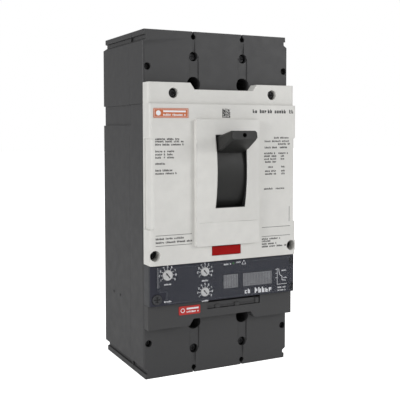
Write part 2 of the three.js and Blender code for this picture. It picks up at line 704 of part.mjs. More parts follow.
function circuitBoard() {
  const BOARD = { x: [-60, 60], y: [-103.6, -102], z: [-77, -53] };
  const FRONT_PARTS = [
    { x: [-8, 4], y: [-105, -103.2], z: [-72, -60] },
    { x: [14, 48], y: [-105.2, -103.2], z: [-74, -60] },
    { x: [-42, -30], y: [-105, -103.2], z: [-70, -58] },
  ];
  const REAR_PARTS = [
    { x: [-52, -20], y: [-102.4, -99.2], z: [-60, -55] },
    { x: [22, 52], y: [-102.4, -99.2], z: [-60, -55] },
  ];
  return join([BOARD, ...FRONT_PARTS, ...REAR_PARTS].map(({ x, y, z }) => block(x, y, z)));
}

// ---------------------------------------------------------------- labels and button

const LABELS = {
  orange: { x: [-66.6, -35.6], z: [73, 80.8], face: COVER_DEPTH, corner: 0.5 },
  red: { x: [-41.8, -21.8], z: [-92.4, -85], face: BLOCK_DEPTH, corner: 1 },
};

function label({ x, z, face, corner }) {
  const LIFT = 0.05;
  const THICKNESS = 0.35;
  return prism('y', roundedRect(x, z, corner), [-face - LIFT - THICKNESS, -face - LIFT], 3);
}

const BUTTON = { half: 13.6, z: [-42.8, -35.2], stemZ: -39, stemEnd: -74.6 };

function tripButton() {
  const CAP = { proud: 0.4, back: -108, corner: 0.6 };
  const FLANGE = { side: 1.2, end: 1, y: [-109.6, -107.4] };
  const STEM = { halfWidth: 2.4, halfHeight: 2 };
  const cap = prism('y', roundedRect([-BUTTON.half, BUTTON.half], BUTTON.z, CAP.corner),
    [-COVER_DEPTH - CAP.proud, CAP.back], 3);
  const flange = block([-BUTTON.half - FLANGE.side, BUTTON.half + FLANGE.side], FLANGE.y,
    [BUTTON.z[0] - FLANGE.end, BUTTON.z[1] + FLANGE.end]);
  const stem = block([-STEM.halfWidth, STEM.halfWidth], [CAP.back, BUTTON.stemEnd],
    [BUTTON.stemZ - STEM.halfHeight, BUTTON.stemZ + STEM.halfHeight]);
  return join(cap, flange, stem);
}

function tripButtonSpring() {
  const FRONT = -106.4;
  const BACK = -92.8;
  const COIL_RADIUS = 4;
  const WIRE_RADIUS = 0.45;
  const TURNS = 5;
  const front = new THREE.Vector3(0, FRONT, BUTTON.stemZ);
  const back = new THREE.Vector3(0, BACK, BUTTON.stemZ);
  return spring(front, back, COIL_RADIUS, WIRE_RADIUS, TURNS);
}

// ---------------------------------------------------------------- handle

// One slice across the lever: a rectangle with small corner cuts, between a lower and an upper [y, z] point.
function leverSlice([lowY, lowZ], [highY, highZ], half, corner) {
  const alongY = (highY - lowY);
  const alongZ = (highZ - lowZ);
  const length = Math.hypot(alongY, alongZ);
  const at = (x, t) => [x, lowY + alongY * t, lowZ + alongZ * t];
  const inset = corner / length;
  return [
    at(-half + corner, 0),
    at(half - corner, 0),
    at(half, inset),
    at(half, 1 - inset),
    at(half - corner, 1),
    at(-half + corner, 1),
    at(-half, 1 - inset),
    at(-half, inset),
  ];
}

// The toggle: a curved shield that closes the slot, the lever, and a boss that seats on the fork.
function handle() {
  const ROOT = { sunk: 1.5, angles: [15.2, 29], half: 13.2, corner: 1 };
  const SECTIONS = [
    { low: [-130, 47.6], high: [-125.5, 58.9], half: 12.8, corner: 1.2 },
    { low: [-143.4, 54.6], high: [-141.6, 62.6], half: 12.2, corner: 1.4 },
    { low: [-145.2, 55.6], high: [-144.2, 62.4], half: 11.6, corner: 1.4 },
  ];
  const BOSS = { inner: 48.4, half: 9, halfAngle: 6 };
  const TIP_HOLE = { z: 59, radius: 1.8, y: [-146, -136] };
  const SHIELD_STEPS = 40;
  const inner = SHIELD_RADIUS - SHIELD_THICKNESS;
  const from = HANDLE_ANGLE - SHIELD_HALF_ANGLE;
  const to = HANDLE_ANGLE + SHIELD_HALF_ANGLE;
  const band = arcBand(HANDLE_PIVOT, inner, SHIELD_RADIUS, from, to, SHIELD_STEPS);
  const shield = prism('x', band, [-SHIELD_HALF_WIDTH, SHIELD_HALF_WIDTH]);
  const [rootLow, rootHigh] = ROOT.angles.map((angle) => (
    aroundAxis(HANDLE_PIVOT, SHIELD_RADIUS - ROOT.sunk, angle)));
  const lever = loft([
    leverSlice(rootLow, rootHigh, ROOT.half, ROOT.corner),
    ...SECTIONS.map(({ low, high, half, corner }) => leverSlice(low, high, half, corner)),
  ]);
  const bossOutline = arcBand(HANDLE_PIVOT, BOSS.inner, inner + PAST,
    HANDLE_ANGLE - BOSS.halfAngle, HANDLE_ANGLE + BOSS.halfAngle, 3);
  const boss = prism('x', bossOutline, [-BOSS.half, BOSS.half]);
  const tipHole = rod('y', [0, TIP_HOLE.z], TIP_HOLE.radius, TIP_HOLE.y, 14);
  return cut(join(shield, lever, boss), tipHole);
}

// The steel fork that carries the handle: two legs joined by a strip under the handle's boss.
function handleYoke() {
  const LEG = [16.4, 18];
  const STRIP = [46, 48];
  const HALF_ANGLE = 10;
  const EYE = { radius: 6.5, centre: 0.01, steps: 10 };
  const eyeArc = arcBand(HANDLE_PIVOT, EYE.centre, EYE.radius, HANDLE_ANGLE + 90, HANDLE_ANGLE + 270, EYE.steps)
    .slice(0, EYE.steps + 1);
  const legs = onBothSides((side) => {
    const outline = [
      ...eyeArc,
      aroundAxis(HANDLE_PIVOT, STRIP[1], HANDLE_ANGLE - HALF_ANGLE),
      aroundAxis(HANDLE_PIVOT, STRIP[1], HANDLE_ANGLE + HALF_ANGLE),
    ];
    const leg = prism('x', outline, mirrored(side, LEG));
    return cut(leg, rod('x', HANDLE_PIVOT, PIN_HOLE, wider(mirrored(side, LEG)), 20));
  });
  const stripOutline = arcBand(HANDLE_PIVOT, STRIP[0], STRIP[1], HANDLE_ANGLE - HALF_ANGLE,
    HANDLE_ANGLE + HALF_ANGLE, 4);
  return join(prism('x', stripOutline, [-LEG[1], LEG[1]]), legs);
}

// ---------------------------------------------------------------- operating mechanism

const PLATE = [12.5, 14.5];
const CRADLE_LAYER = [10.2, 11.7];
const UPPER_LAYER = [8, 9.5];
const LOWER_LAYER = [6, 7.5];
const PIN_RADIUS = 3;
const PIN_HOLE = 3.3;
const ARM_PIN_HOLE = 2.2;
const CRADLE_STUB = 2.4;
const STUB_END = 18.6;
const TRIP_BAR_RADIUS = 2.6;
const BARREL_HOLE = 10.5;
const TRIP_BAR_HOLE = TRIP_BAR_RADIUS + GAP;

function mechanismPlate(side) {
  const outline = [
    [-42, 66],
    [-76, 66],
    [-88, 50],
    [-88, 6],
    [-76, -18],
    [-77, -32],
    [-77, -57],
    [-65, -57],
    [-44, -26],
    [-44, -12],
    [-30, -10],
    [-42, 24],
  ];
  const span = mirrored(side, PLATE);
  const plate = prism('x', outline, span);
  const barrelHole = rod('x', CROSSBAR_AXIS, BARREL_HOLE, wider(span), 24);
  const tripBarHole = rod('x', TRIP_BAR_AXIS, TRIP_BAR_HOLE, wider(span), 14);
  const handleStub = rod('x', HANDLE_PIVOT, PIN_RADIUS, mirrored(side, [PLATE[0], STUB_END]), 20);
  const cradleStub = rod('x', CRADLE_PIVOT, CRADLE_STUB, mirrored(side, [CRADLE_LAYER[0], PLATE[1]]), 14);
  return join(cut(plate, barrelHole, tripBarHole), handleStub, cradleStub);
}

// The latched lever: two cheeks on the side plates' stubs, joined by a strip near the latch tips.
function cradle() {
  const outline = [
    [-58, 64],
    [-66, 64],
    [-87, 40],
    [-89, 26],
    [-85, 6],
    [-79, -20],
    [-74, -20],
    [-78, 8],
    [-79, 24],
    [-58, 55],
  ];
  const cheeks = onBothSides((side) => {
    const span = mirrored(side, CRADLE_LAYER);
    const cheek = cut(prism('x', outline, span), rod('x', CRADLE_PIVOT, CRADLE_STUB + GAP, wider(span), 14));
    const stub = rod('x', CRADLE_PIN, PIN_RADIUS, mirrored(side, [UPPER_LAYER[0], CRADLE_LAYER[1]]), 16);
    return join(cheek, stub);
  });
  const strip = prism('x', [[-85, 5], [-82.6, -3], [-80.6, -3], [-83, 5]], [-CRADLE_LAYER[1], CRADLE_LAYER[1]]);
  return join(strip, cheeks);
}

// The upper toggle link: two plates on the cradle's stubs, joined by the knee pin.
function upperLink() {
  const END_RADIUS = 4.6;
  const plates = onBothSides((side) => {
    const span = mirrored(side, UPPER_LAYER);
    return cut(link(CRADLE_PIN, KNEE_PIN, END_RADIUS, span), rod('x', CRADLE_PIN, PIN_HOLE, wider(span), 16));
  });
  return join(rod('x', KNEE_PIN, PIN_RADIUS, [-UPPER_LAYER[1], UPPER_LAYER[1]], 16), plates);
}

// The lower toggle link: two plates on the knee pin, joined by a web below the pins.
function lowerLink() {
  const END_RADIUS = 4.4;
  const WEB = { y: [-60.5, -53.5], z: [26.2, 27.8] };
  const plates = onBothSides((side) => {
    const span = mirrored(side, LOWER_LAYER);
    return cut(
      link(KNEE_PIN, ARM_PIN, END_RADIUS, span),
      rod('x', KNEE_PIN, PIN_HOLE, wider(span), 16),
      rod('x', ARM_PIN, ARM_PIN_HOLE, wider(span), 14),
    );
  });
  return join(block([-LOWER_LAYER[1], LOWER_LAYER[1]], WEB.y, WEB.z), plates);
}

function mainSpring(side) {
  const HANGER_RADIUS = 44.5;
  const REACH = 0.84;
  const X = 2.9;
  const COIL_RADIUS = 2;
  const WIRE_RADIUS = 0.5;
  const TURNS = 8;
  const hanger = aroundAxis(HANDLE_PIVOT, HANGER_RADIUS, HANDLE_ANGLE);
  const foot = hanger.map((value, axis) => value + (KNEE_PIN[axis] - value) * REACH);
  const start = new THREE.Vector3(side * X, ...hanger);
  const end = new THREE.Vector3(side * X, ...foot);
  return spring(start, end, COIL_RADIUS, WIRE_RADIUS, TURNS);
}

// ---------------------------------------------------------------- contacts and conductors

// The insulating shaft through all poles, with a slotted block for each contact arm.
function crossbar() {
  const SHAFT = { radius: 9, half: 62 };
  const BLOCK = { half: 12, front: 12, rear: 11, halfHeight: 11 };
  const ARM_SLOT = { half: 5.3, rear: 4.4 };
  const [y, z] = CROSSBAR_AXIS;
  const shaft = rod('x', CROSSBAR_AXIS, SHAFT.radius, [-SHAFT.half, SHAFT.half], 24);
  const blocks = POLES.map((pole) => {
    const x = pole * POLE_PITCH;
    return block([x - BLOCK.half, x + BLOCK.half], [y - BLOCK.front, y + BLOCK.rear],
      [z - BLOCK.halfHeight, z + BLOCK.halfHeight]);
  });
  const slots = POLES.map((pole) => {
    const x = pole * POLE_PITCH;
    return block([x - ARM_SLOT.half, x + ARM_SLOT.half], [y - BLOCK.front - PAST, y + ARM_SLOT.rear],
      wider([z - BLOCK.halfHeight, z + BLOCK.halfHeight]));
  });
  return cut(join(shaft, blocks), slots);
}

function contactArm(pole) {
  const ARM_HALF = 5;
  const x = pole * POLE_PITCH;
  const outline = [
    [-34, -1],
    [-48, -1],
    [-49.5, 14],
    [-50, 58],
    [-48.5, 69],
    [-44.5, 69],
    [-42.3, 67],
    [CONTACT_FACE - GAP, 67],
    [CONTACT_FACE - GAP, 57],
    [-42.3, 57],
    [-42.3, 22],
    [-34, 17],
  ];
  const span = [x - ARM_HALF, x + ARM_HALF];
  return cut(prism('x', outline, span), rod('x', ARM_PIN, ARM_PIN_HOLE, wider(span), 16));
}

// A flat copper bar along Z through one pole, drilled for its terminal bolt.
function terminalBar(pole, alongZ, boltZ) {
  const BOLT_HOLE = 5.2;
  const x = pole * POLE_PITCH;
  const bar = block([x - BAR_HALF, x + BAR_HALF], [BAR_FRONT, BAR_BACK], alongZ);
  return cut(bar, rod('y', [x, boltZ], BOLT_HOLE, wider([BAR_FRONT, BAR_BACK]), 24));
}

function lineConductor(pole) {
  const CONTACT = { half: 6, z: [56, 68] };
  const x = pole * POLE_PITCH;
  const contact = block([x - CONTACT.half, x + CONTACT.half], [CONTACT_FACE, BAR_FRONT + PAST], CONTACT.z);
  return join(terminalBar(pole, [52, BAR_END], BOLT_Z), contact);
}

function loadConductor(pole) {
  return terminalBar(pole, [-BAR_END, -14], -BOLT_Z);
}

// The flexible strap from the load bar towards the contact arm's foot.
function flexibleStrap(pole) {
  const STRAP_HALF = 8;
  const x = pole * POLE_PITCH;
  const outline = [
    [BAR_FRONT - GAP, -40],
    [-42, -40],
    [-47, -32],
    [-51, -20],
    [-51, -12],
    [-48.6, -12],
    [-48.6, -19],
    [-45, -30],
    [-40.6, -36],
    [BAR_FRONT - GAP, -36],
  ];
  return prism('x', outline, [x - STRAP_HALF, x + STRAP_HALF]);
}

// A stack of notched plates held by two side walls, in front of the fixed contact.
function arcChute(pole) {
  const PLATES = 6;
  const SPACING = 5.2;
  const PLATE_THICKNESS = 1.6;
  const FIRST_PLATE = -48;
  const NOTCH = [[-17, 72], [-8, 72], [-2.5, 84], [2.5, 84], [8, 72], [17, 72], [17, 91], [-17, 91]];
  const WALL_BOX = { x: [16.4, 18.2], y: [-76.4, -45], z: [71, 92] };
  const x = pole * POLE_PITCH;
  const outline = NOTCH.map(([u, v]) => [x + u, v]);
  const plates = Array.from({ length: PLATES }, (_, i) => {
    const front = FIRST_PLATE - SPACING * i;
    return prism('y', outline, [front - PLATE_THICKNESS, front]);
  });
  const walls = onBothSides((side) => {
    const [from, to] = mirrored(side, WALL_BOX.x);
    return block([x + from, x + to], WALL_BOX.y, WALL_BOX.z);
  });
  return join(walls, plates);
}

// A ring core in its bobbin around the load bar of one pole.
function currentTransformer(pole) {
  const BODY = { half: 17.6, y: [-56, -14], z: [-92, -60] };
  const FLANGE = { grow: 0.8, z: [-92, -89.5] };
  const CORNER = 5;
  const BAR_ROOM = 0.6;
  const x = pole * POLE_PITCH;
  const outlineGrownBy = (grow) => roundedRect([x - BODY.half - grow, x + BODY.half + grow],
    [BODY.y[0] - grow, BODY.y[1] + grow], CORNER);
  const window = block([x - BAR_HALF - BAR_ROOM, x + BAR_HALF + BAR_ROOM],
    [BAR_FRONT - BAR_ROOM, BAR_BACK + BAR_ROOM], wider(BODY.z));
  const core = prism('z', outlineGrownBy(0), BODY.z, 3);
  const flange = prism('z', outlineGrownBy(FLANGE.grow), FLANGE.z, 3);
  return cut(join(core, flange), window);
}

// ---------------------------------------------------------------- tripping parts

// The turning bar that releases the cradle: two hooks, a tab for the red button and one for the plunger.
function tripBar() {
  const SHAFT_HALF = 19;
  const HOOK = { span: [8.2, 9.8], half: 2, nose: 5, noseStart: 30, noseTip: 32, top: 34 };
  const BUTTON_TAB = { half: 4, halfThickness: 1.8, height: 16 };
  const PLUNGER_TAB = { x: [15, 19], reach: 11, halfThickness: 1.2 };
  const [y, z] = TRIP_BAR_AXIS;
  const hookOutline = [
    [y + HOOK.half, z + HOOK.top],
    [y - HOOK.nose, z + HOOK.top],
    [y - HOOK.nose, z + HOOK.noseTip],
    [y - HOOK.half, z + HOOK.noseStart],
    [y - HOOK.half, z],
    [y + HOOK.half, z],
  ];
  return join(
    rod('x', TRIP_BAR_AXIS, TRIP_BAR_RADIUS, [-SHAFT_HALF, SHAFT_HALF], 14),
    onBothSides((side) => prism('x', hookOutline, mirrored(side, HOOK.span))),
    block([-BUTTON_TAB.half, BUTTON_TAB.half], [y - BUTTON_TAB.halfThickness, y + BUTTON_TAB.halfThickness],
      [z, z + BUTTON_TAB.height]),
    block(PLUNGER_TAB.x, [y - PLUNGER_TAB.reach, y],
      [z - PLUNGER_TAB.halfThickness, z + PLUNGER_TAB.halfThickness]),
  );
}

function tripActuator() {
  const BODY = { x: [9, 21], y: [-89, -70], z: [-90, -60.5] };
  const COLLAR = { radius: 3.6, z: [-61, -58.8] };
  const BORE = { radius: 2.3, z: [-68, -58] };
  const body = join(block(BODY.x, BODY.y, BODY.z), rod('z', PLUNGER_AXIS, COLLAR.radius, COLLAR.z, 16));
  return cut(body, rod('z', PLUNGER_AXIS, BORE.radius, BORE.z, 14));
}

function actuatorPlunger() {
  const PIN = { radius: 2, z: [-66, -57] };
  const TIP = { radius: 1.4, z: [-57.5, -56] };
  return join(rod('z', PLUNGER_AXIS, PIN.radius, PIN.z, 14), rod('z', PLUNGER_AXIS, TIP.radius, TIP.z, 10));
}

// ---------------------------------------------------------------- screws

const HEAD_HEIGHT = 2.4;

// A pan-head screw along Y with a cross recess; face is the front of its head.
function screw(x, z, face, headRadius, headHeight, length) {
  const SHANK = 1.9;
  const OVERLAP = 0.5;
  const RECESS = { reach: 0.55, half: 0.5, depth: 1.2 };
  const head = rod('y', [x, z], headRadius, [face, face + headHeight], 14);
  const shank = rod('y', [x, z], SHANK, [face + headHeight - OVERLAP, face + headHeight + length], 6);
  const arm = headRadius * RECESS.reach;
  const depth = [face - PAST, face + RECESS.depth];
  const recess = [
    block([x - arm, x + arm], depth, [z - RECESS.half, z + RECESS.half]),
    block([x - RECESS.half, x + RECESS.half], depth, [z - arm, z + arm]),
  ];
  return cut(join(head, shank), recess);
}

// Blind screws that clamp the mid cover: only the head sits in its seat.
function midCoverScrews() {
  const ENDS = { '-1': 'bottom', 1: 'top' };
  const FOOT = 0.05;
  const SHORTER = 0.1;
  const INNER_HEAD = MID_COUNTERBORE - 0.5;
  const OUTER_HEAD = OUTER_COUNTERBORE - 0.4;
  const face = -BODY_DEPTH + MID_SEAT_DEPTH - HEAD_HEIGHT - GAP;
  return SIDES.flatMap((sz) => SIDES.flatMap((sx, index) => {
    const suffix = `${ENDS[sz]}_${SIDE_NAMES[index]}`;
    const screwAt = (x, z, radius) => screw(sx * x, sz * z, face, radius, HEAD_HEIGHT - SHORTER, FOOT);
    return [
      [`case_screw_inner_${suffix}`, screwAt(MOUNT_X, MID_SCREW_Z, INNER_HEAD)],
      [`case_screw_outer_${suffix}`, screwAt(OUTER_SCREW_X, OUTER_SCREW_Z, OUTER_HEAD)],
    ];
  }));
}

// The screws of the front cover, each from its deep seat down to the mid cover.
function frontCoverScrews() {
  const rows = [['top', TOP_COVER_SCREW, -STRIP_DEPTH], ['bottom', LOW_COVER_SCREW, -COVER_DEPTH]];
  return rows.flatMap(([end, seat, top]) => SIDES.map((side, index) => {
    const face = top + seat.depth + COVER_SKIN - HEAD_HEIGHT - GAP;
    const length = -BODY_DEPTH - GAP - face - HEAD_HEIGHT;
    const solid = screw(side * seat.x, seat.z, face, seat.head, HEAD_HEIGHT, length);
    return [`cover_screw_${end}_${SIDE_NAMES[index]}`, solid];
  }));
}

// ---------------------------------------------------------------- assembly

const group = new THREE.Group();
const place = (name, solid, finish) => group.add(meshFrom(name, solid, finish));

place('rear_base', rearBase(), MATERIALS.darkCase);
place('mid_cover', midCover(), MATERIALS.darkCase);
place('front_cover', frontCover(), MATERIALS.whiteCover);
place('trip_unit_housing', tripUnitHousing(), MATERIALS.tripPlastic);
place('trip_unit_panel', tripUnitPanel(), MATERIALS.tripPanel);
place('trip_unit_cover', clearCover(), MATERIALS.clearPlastic);
place('trip_unit_board', circuitBoard(), MATERIALS.boardGreen);
place('test_port_plug', testPortPlug(), MATERIALS.tripPlastic);
DIALS.forEach((dial) => place(dial.name, settingDial(dial), MATERIALS.dialPlastic));
WINDOWS.forEach((view) => place(view.name, displayWindow(view), MATERIALS.displayGrey));
place('rating_label', label(LABELS.orange), MATERIALS.orangeLabel);
place('caution_label', label(LABELS.red), MATERIALS.redLabel);
place('trip_button', tripButton(), MATERIALS.redPlastic);
place('trip_button_spring', tripButtonSpring(), MATERIALS.steel);
place('handle', handle(), MATERIALS.handlePlastic);
place('handle_yoke', handleYoke(), MATERIALS.steel);
SIDES.forEach((side, index) => {
  place(`mechanism_plate_${SIDE_NAMES[index]}`, mechanismPlate(side), MATERIALS.steel);
  place(`main_spring_${SIDE_NAMES[index]}`, mainSpring(side), MATERIALS.steel);
});
place('cradle', cradle(), MATERIALS.steel);
place('upper_link', upperLink(), MATERIALS.steel);
place('lower_link', lowerLink(), MATERIALS.steel);
place('crossbar', crossbar(), MATERIALS.coilPlastic);
POLES.forEach((pole, index) => {
  const name = POLE_NAMES[index];
  place(`contact_arm_${name}`, contactArm(pole), MATERIALS.copper);
  place(`line_conductor_${name}`, lineConductor(pole), MATERIALS.copper);
  place(`load_conductor_${name}`, loadConductor(pole), MATERIALS.copper);
  place(`flexible_strap_${name}`, flexibleStrap(pole), MATERIALS.copper);
  place(`arc_chute_${name}`, arcChute(pole), MATERIALS.fibre);
  place(`current_transformer_${name}`, currentTransformer(pole), MATERIALS.coilPlastic);
});
place('trip_bar', tripBar(), MATERIALS.coilPlastic);
place('trip_actuator', tripActuator(), MATERIALS.darkSteel);
place('actuator_plunger', actuatorPlunger(), MATERIALS.steel);
frontCoverScrews().forEach(([name, solid]) => place(name, solid, MATERIALS.darkSteel));
midCoverScrews().forEach(([name, solid]) => place(name, solid, MATERIALS.darkSteel));

export default group;
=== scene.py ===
"""Looks of a three-pole molded case circuit breaker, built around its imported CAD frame.

Metres, +Z up, front towards -Y, in the same frame as the CAD, whose origin is the centre of the rear
mounting face. Fine detail is drawn in millimetres and scaled when it becomes a piece.
"""

import json
import math
import random

import bmesh
import bpy
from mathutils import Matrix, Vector
from mathutils.bvhtree import BVHTree


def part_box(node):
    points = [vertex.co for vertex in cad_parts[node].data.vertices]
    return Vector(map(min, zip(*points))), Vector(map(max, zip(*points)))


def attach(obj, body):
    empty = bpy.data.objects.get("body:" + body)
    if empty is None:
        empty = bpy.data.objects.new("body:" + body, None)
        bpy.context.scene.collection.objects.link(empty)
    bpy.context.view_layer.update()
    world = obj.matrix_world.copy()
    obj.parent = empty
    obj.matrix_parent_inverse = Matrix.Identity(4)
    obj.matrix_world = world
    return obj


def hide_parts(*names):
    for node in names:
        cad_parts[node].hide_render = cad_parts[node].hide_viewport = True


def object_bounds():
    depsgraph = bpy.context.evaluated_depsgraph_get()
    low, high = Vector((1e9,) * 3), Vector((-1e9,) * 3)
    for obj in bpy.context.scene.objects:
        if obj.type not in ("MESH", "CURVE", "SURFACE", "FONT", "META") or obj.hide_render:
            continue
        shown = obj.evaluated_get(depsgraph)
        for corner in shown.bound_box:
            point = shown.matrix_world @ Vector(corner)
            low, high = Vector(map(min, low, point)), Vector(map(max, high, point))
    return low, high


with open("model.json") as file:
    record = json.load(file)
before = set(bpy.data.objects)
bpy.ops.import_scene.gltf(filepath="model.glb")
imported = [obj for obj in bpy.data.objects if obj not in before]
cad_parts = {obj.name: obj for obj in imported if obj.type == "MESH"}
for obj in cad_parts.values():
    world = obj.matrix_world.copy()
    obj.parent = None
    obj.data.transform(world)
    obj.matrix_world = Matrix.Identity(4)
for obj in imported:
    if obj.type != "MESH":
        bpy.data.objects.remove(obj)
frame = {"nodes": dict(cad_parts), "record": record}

CAD_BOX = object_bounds()
MM = 0.001
WELD = 0.002 * MM
TOUCHING = 1e-4
FLOOR_Z = CAD_BOX[0].z


# ---------------------------------------------------------------- shader building

class Finish:
    """A material under construction: its nodes, and short ways to add and join them."""

    def __init__(self, name):
        self.material = bpy.data.materials.new(name)
        self.material.use_nodes = True
        self.tree = self.material.node_tree
        self.shader = self.tree.nodes["Principled BSDF"]
        self.place = self.add("ShaderNodeTexCoord").outputs["Object"]

    def add(self, kind, settings=None, **inputs):
        node = self.tree.nodes.new(kind)
        for key, value in (settings or {}).items():
            setattr(node, key, value)
        for key, value in inputs.items():
            self.feed(node.inputs[key.replace("_", " ")], value)
        return node

    def feed(self, socket, value):
        if isinstance(value, bpy.types.NodeSocket):
            self.tree.links.new(value, socket)
        else:
            socket.default_value = value

    def noise(self, size, detail=2.0, place=None):
        """Noise with features of about the given size in metres."""
        node = self.add("ShaderNodeTexNoise", Vector=place or self.place, Scale=1 / size, Detail=detail)
        return node.outputs["Fac"]

    def ramp(self, value, low, high, out_low=0.0, out_high=1.0):
        node = self.add("ShaderNodeMapRange", {"clamp": True})
        self.feed(node.inputs["Value"], value)
        node.inputs["From Min"].default_value = low
        node.inputs["From Max"].default_value = high
        node.inputs["To Min"].default_value = out_low
        node.inputs["To Max"].default_value = out_high
        return node.outputs["Result"]

    def math(self, operation, a, b=0.0):
        node = self.add("ShaderNodeMath", {"operation": operation})
        self.feed(node.inputs[0], a)
        self.feed(node.inputs[1], b)
        return node.outputs[0]

    def mix(self, share, a, b):
        node = self.add("ShaderNodeMix", {"data_type": "RGBA"})
        self.feed(node.inputs["Factor"], share)
        self.feed(node.inputs[6], a)
        self.feed(node.inputs[7], b)
        return node.outputs[2]

    def rounded_normal(self, radius):
        """The surface normal with its sharp edges rounded off to the given radius."""
        return self.add("ShaderNodeBevel", {"samples": 6}, Radius=radius).outputs["Normal"]

    def edge_mask(self, rounded):
        """1 along sharp edges and 0 on flat faces, from how far the rounded normal leans."""
        true_normal = self.add("ShaderNodeNewGeometry").outputs["Normal"]
        dot = self.add("ShaderNodeVectorMath", {"operation": "DOT_PRODUCT"})
        self.feed(dot.inputs[0], rounded)
        self.feed(dot.inputs[1], true_normal)
        return self.ramp(dot.outputs["Value"], 0.995, 0.86)

    def crevice_mask(self, reach):
        """1 in the open and 0 deep in corners and gaps."""
        node = self.add("ShaderNodeAmbientOcclusion", {"samples": 6}, Distance=reach)
        return node.outputs["AO"]

    def bump(self, height, depth, strength=1.0, normal=None):
        node = self.add("ShaderNodeBump", Height=height, Distance=depth, Strength=strength)
        if normal is not None:
            self.feed(node.inputs["Normal"], normal)
        self.feed(self.shader.inputs["Normal"], node.outputs["Normal"])

    def paint(self, colour):
        self.feed(self.shader.inputs["Base Color"], colour)

    def roughness(self, value):
        self.feed(self.shader.inputs["Roughness"], value)


def srgb(red, green, blue):
    """A display colour of 0 to 255 per channel as linear RGBA."""
    def linear(channel):
        share = channel / 255
        return share / 12.92 if share <= 0.04045 else ((share + 0.055) / 1.055) ** 2.4
    return (linear(red), linear(green), linear(blue), 1.0)


def shade(colour, factor):
    return tuple(min(1.0, channel * factor) for channel in colour[:3]) + (1.0,)


def moulded_plastic(name, colour, roughness, edge_highlight_gain=1.25, grain=0.35 * MM, depth=0.02 * MM,
                    round_off=0.35 * MM, gloss=0.5):
    """Injection-moulded plastic: eroded grain, faint flow mottling, polished edges with a painted highlight,
    painted shade in the corners.
    """
    f = Finish(name)
    mottling = f.noise(9 * MM, 3.0)
    flow = f.noise(60 * MM, 2.0)
    speckle = f.noise(0.9 * MM, 2.0)
    rounded = f.rounded_normal(round_off)
    edges = f.math("MULTIPLY", f.edge_mask(rounded), f.ramp(f.noise(5 * MM), 0.35, 0.65, 0.45, 1.0))
    body = f.mix(f.ramp(mottling, 0.3, 0.7), shade(colour, 0.965), shade(colour, 1.035))
    body = f.mix(f.ramp(flow, 0.35, 0.65, 0.0, 0.5), body, shade(colour, 0.94))
    body = f.mix(f.ramp(speckle, 0.6, 0.8, 0.0, 0.35), body, shade(colour, 1.12))
    # Lighter colour along sharp edges is a painted highlight; only the lower roughness there is real polish.
    edge_highlighted = f.mix(edges, body, shade(colour, edge_highlight_gain))
    # Darker where ambient occlusion finds corners and gaps: painted shade.
    painted_crevice_shade = f.ramp(f.crevice_mask(5 * MM), 0.1, 0.75, 0.30, 0.0)
    f.paint(f.mix(painted_crevice_shade, edge_highlighted, shade(colour, 0.45)))
    smooth = f.ramp(mottling, 0.3, 0.7, roughness - 0.05, roughness + 0.05)
    f.roughness(f.math("SUBTRACT", smooth, f.math("MULTIPLY", edges, 0.12)))
    f.shader.inputs["IOR"].default_value = 1.49
    f.shader.inputs["Specular IOR Level"].default_value = gloss
    height = f.math("ADD", f.noise(grain, 3.0), f.math("MULTIPLY", f.noise(7 * MM), 1.5))
    f.bump(height, depth, 0.8, rounded)
    return f.material


def clear_sheet(name, colour, alpha, roughness):
    """Thin transparent polycarbonate: mostly seen through, with soft scuffs that catch the light."""
    f = Finish(name)
    scuffs = f.ramp(f.noise(1.5 * MM, 4.0), 0.45, 0.75)
    f.paint(f.mix(scuffs, colour, shade(colour, 0.9)))
    f.roughness(f.ramp(scuffs, 0.0, 1.0, roughness, roughness + 0.18))
    f.feed(f.shader.inputs["Alpha"], f.ramp(scuffs, 0.0, 1.0, alpha, alpha + 0.05))
    f.shader.inputs["IOR"].default_value = 1.58
    f.shader.inputs["Specular IOR Level"].default_value = 0.25
    f.bump(f.noise(12 * MM), 0.02 * MM, 0.5, f.rounded_normal(0.3 * MM))
    return f.material


def plated_metal(name, colour, roughness, tarnish=0.85):
    """Plated or drawn metal: fine drawing lines, cloudy tarnish and a painted highlight along the edges."""
    f = Finish(name)
    stretch = f.add("ShaderNodeMapping", Vector=f.place, Scale=(1.0, 12.0, 12.0)).outputs["Vector"]
    lines = f.noise(2.4 * MM, 3.0, stretch)
    clouds = f.noise(6 * MM, 4.0)
    rounded = f.rounded_normal(0.2 * MM)
    body = f.mix(f.ramp(clouds, 0.35, 0.7), colour, shade(colour, tarnish))
    # Lighter colour along sharp edges: a painted highlight.
    f.paint(f.mix(f.edge_mask(rounded), body, shade(colour, 1.3)))
    f.shader.inputs["Metallic"].default_value = 1.0
    f.roughness(f.ramp(lines, 0.3, 0.7, roughness - 0.07, roughness + 0.1))
    f.bump(lines, 0.01 * MM, 0.6, rounded)
    return f.material


def ink(name, colour):
    """Pad-printed ink: matt, a little thin where the print is weak."""
    f = Finish(name)
    thin = f.ramp(f.noise(0.6 * MM, 3.0), 0.5, 0.8, 0.0, 0.35)
    f.paint(f.mix(thin, colour, shade(colour, 0.8)))
    f.roughness(f.ramp(f.noise(0.8 * MM), 0.3, 0.7, 0.5, 0.65))
    f.shader.inputs["Specular IOR Level"].default_value = 0.15
    return f.material


def fibre_board(name, colour):
    """Vulcanised fibre or glass laminate: long strands and a dry surface."""
    f = Finish(name)
    stretch = f.add("ShaderNodeMapping", Vector=f.place, Scale=(8.0, 8.0, 1.0)).outputs["Vector"]
    strands = f.noise(3 * MM, 5.0, stretch)
    f.paint(f.mix(f.ramp(strands, 0.3, 0.7), shade(colour, 0.82), shade(colour, 1.15)))
    f.roughness(f.ramp(strands, 0.3, 0.7, 0.6, 0.8))
    f.bump(strands, 0.05 * MM, 0.7, f.rounded_normal(0.2 * MM))
    return f.material


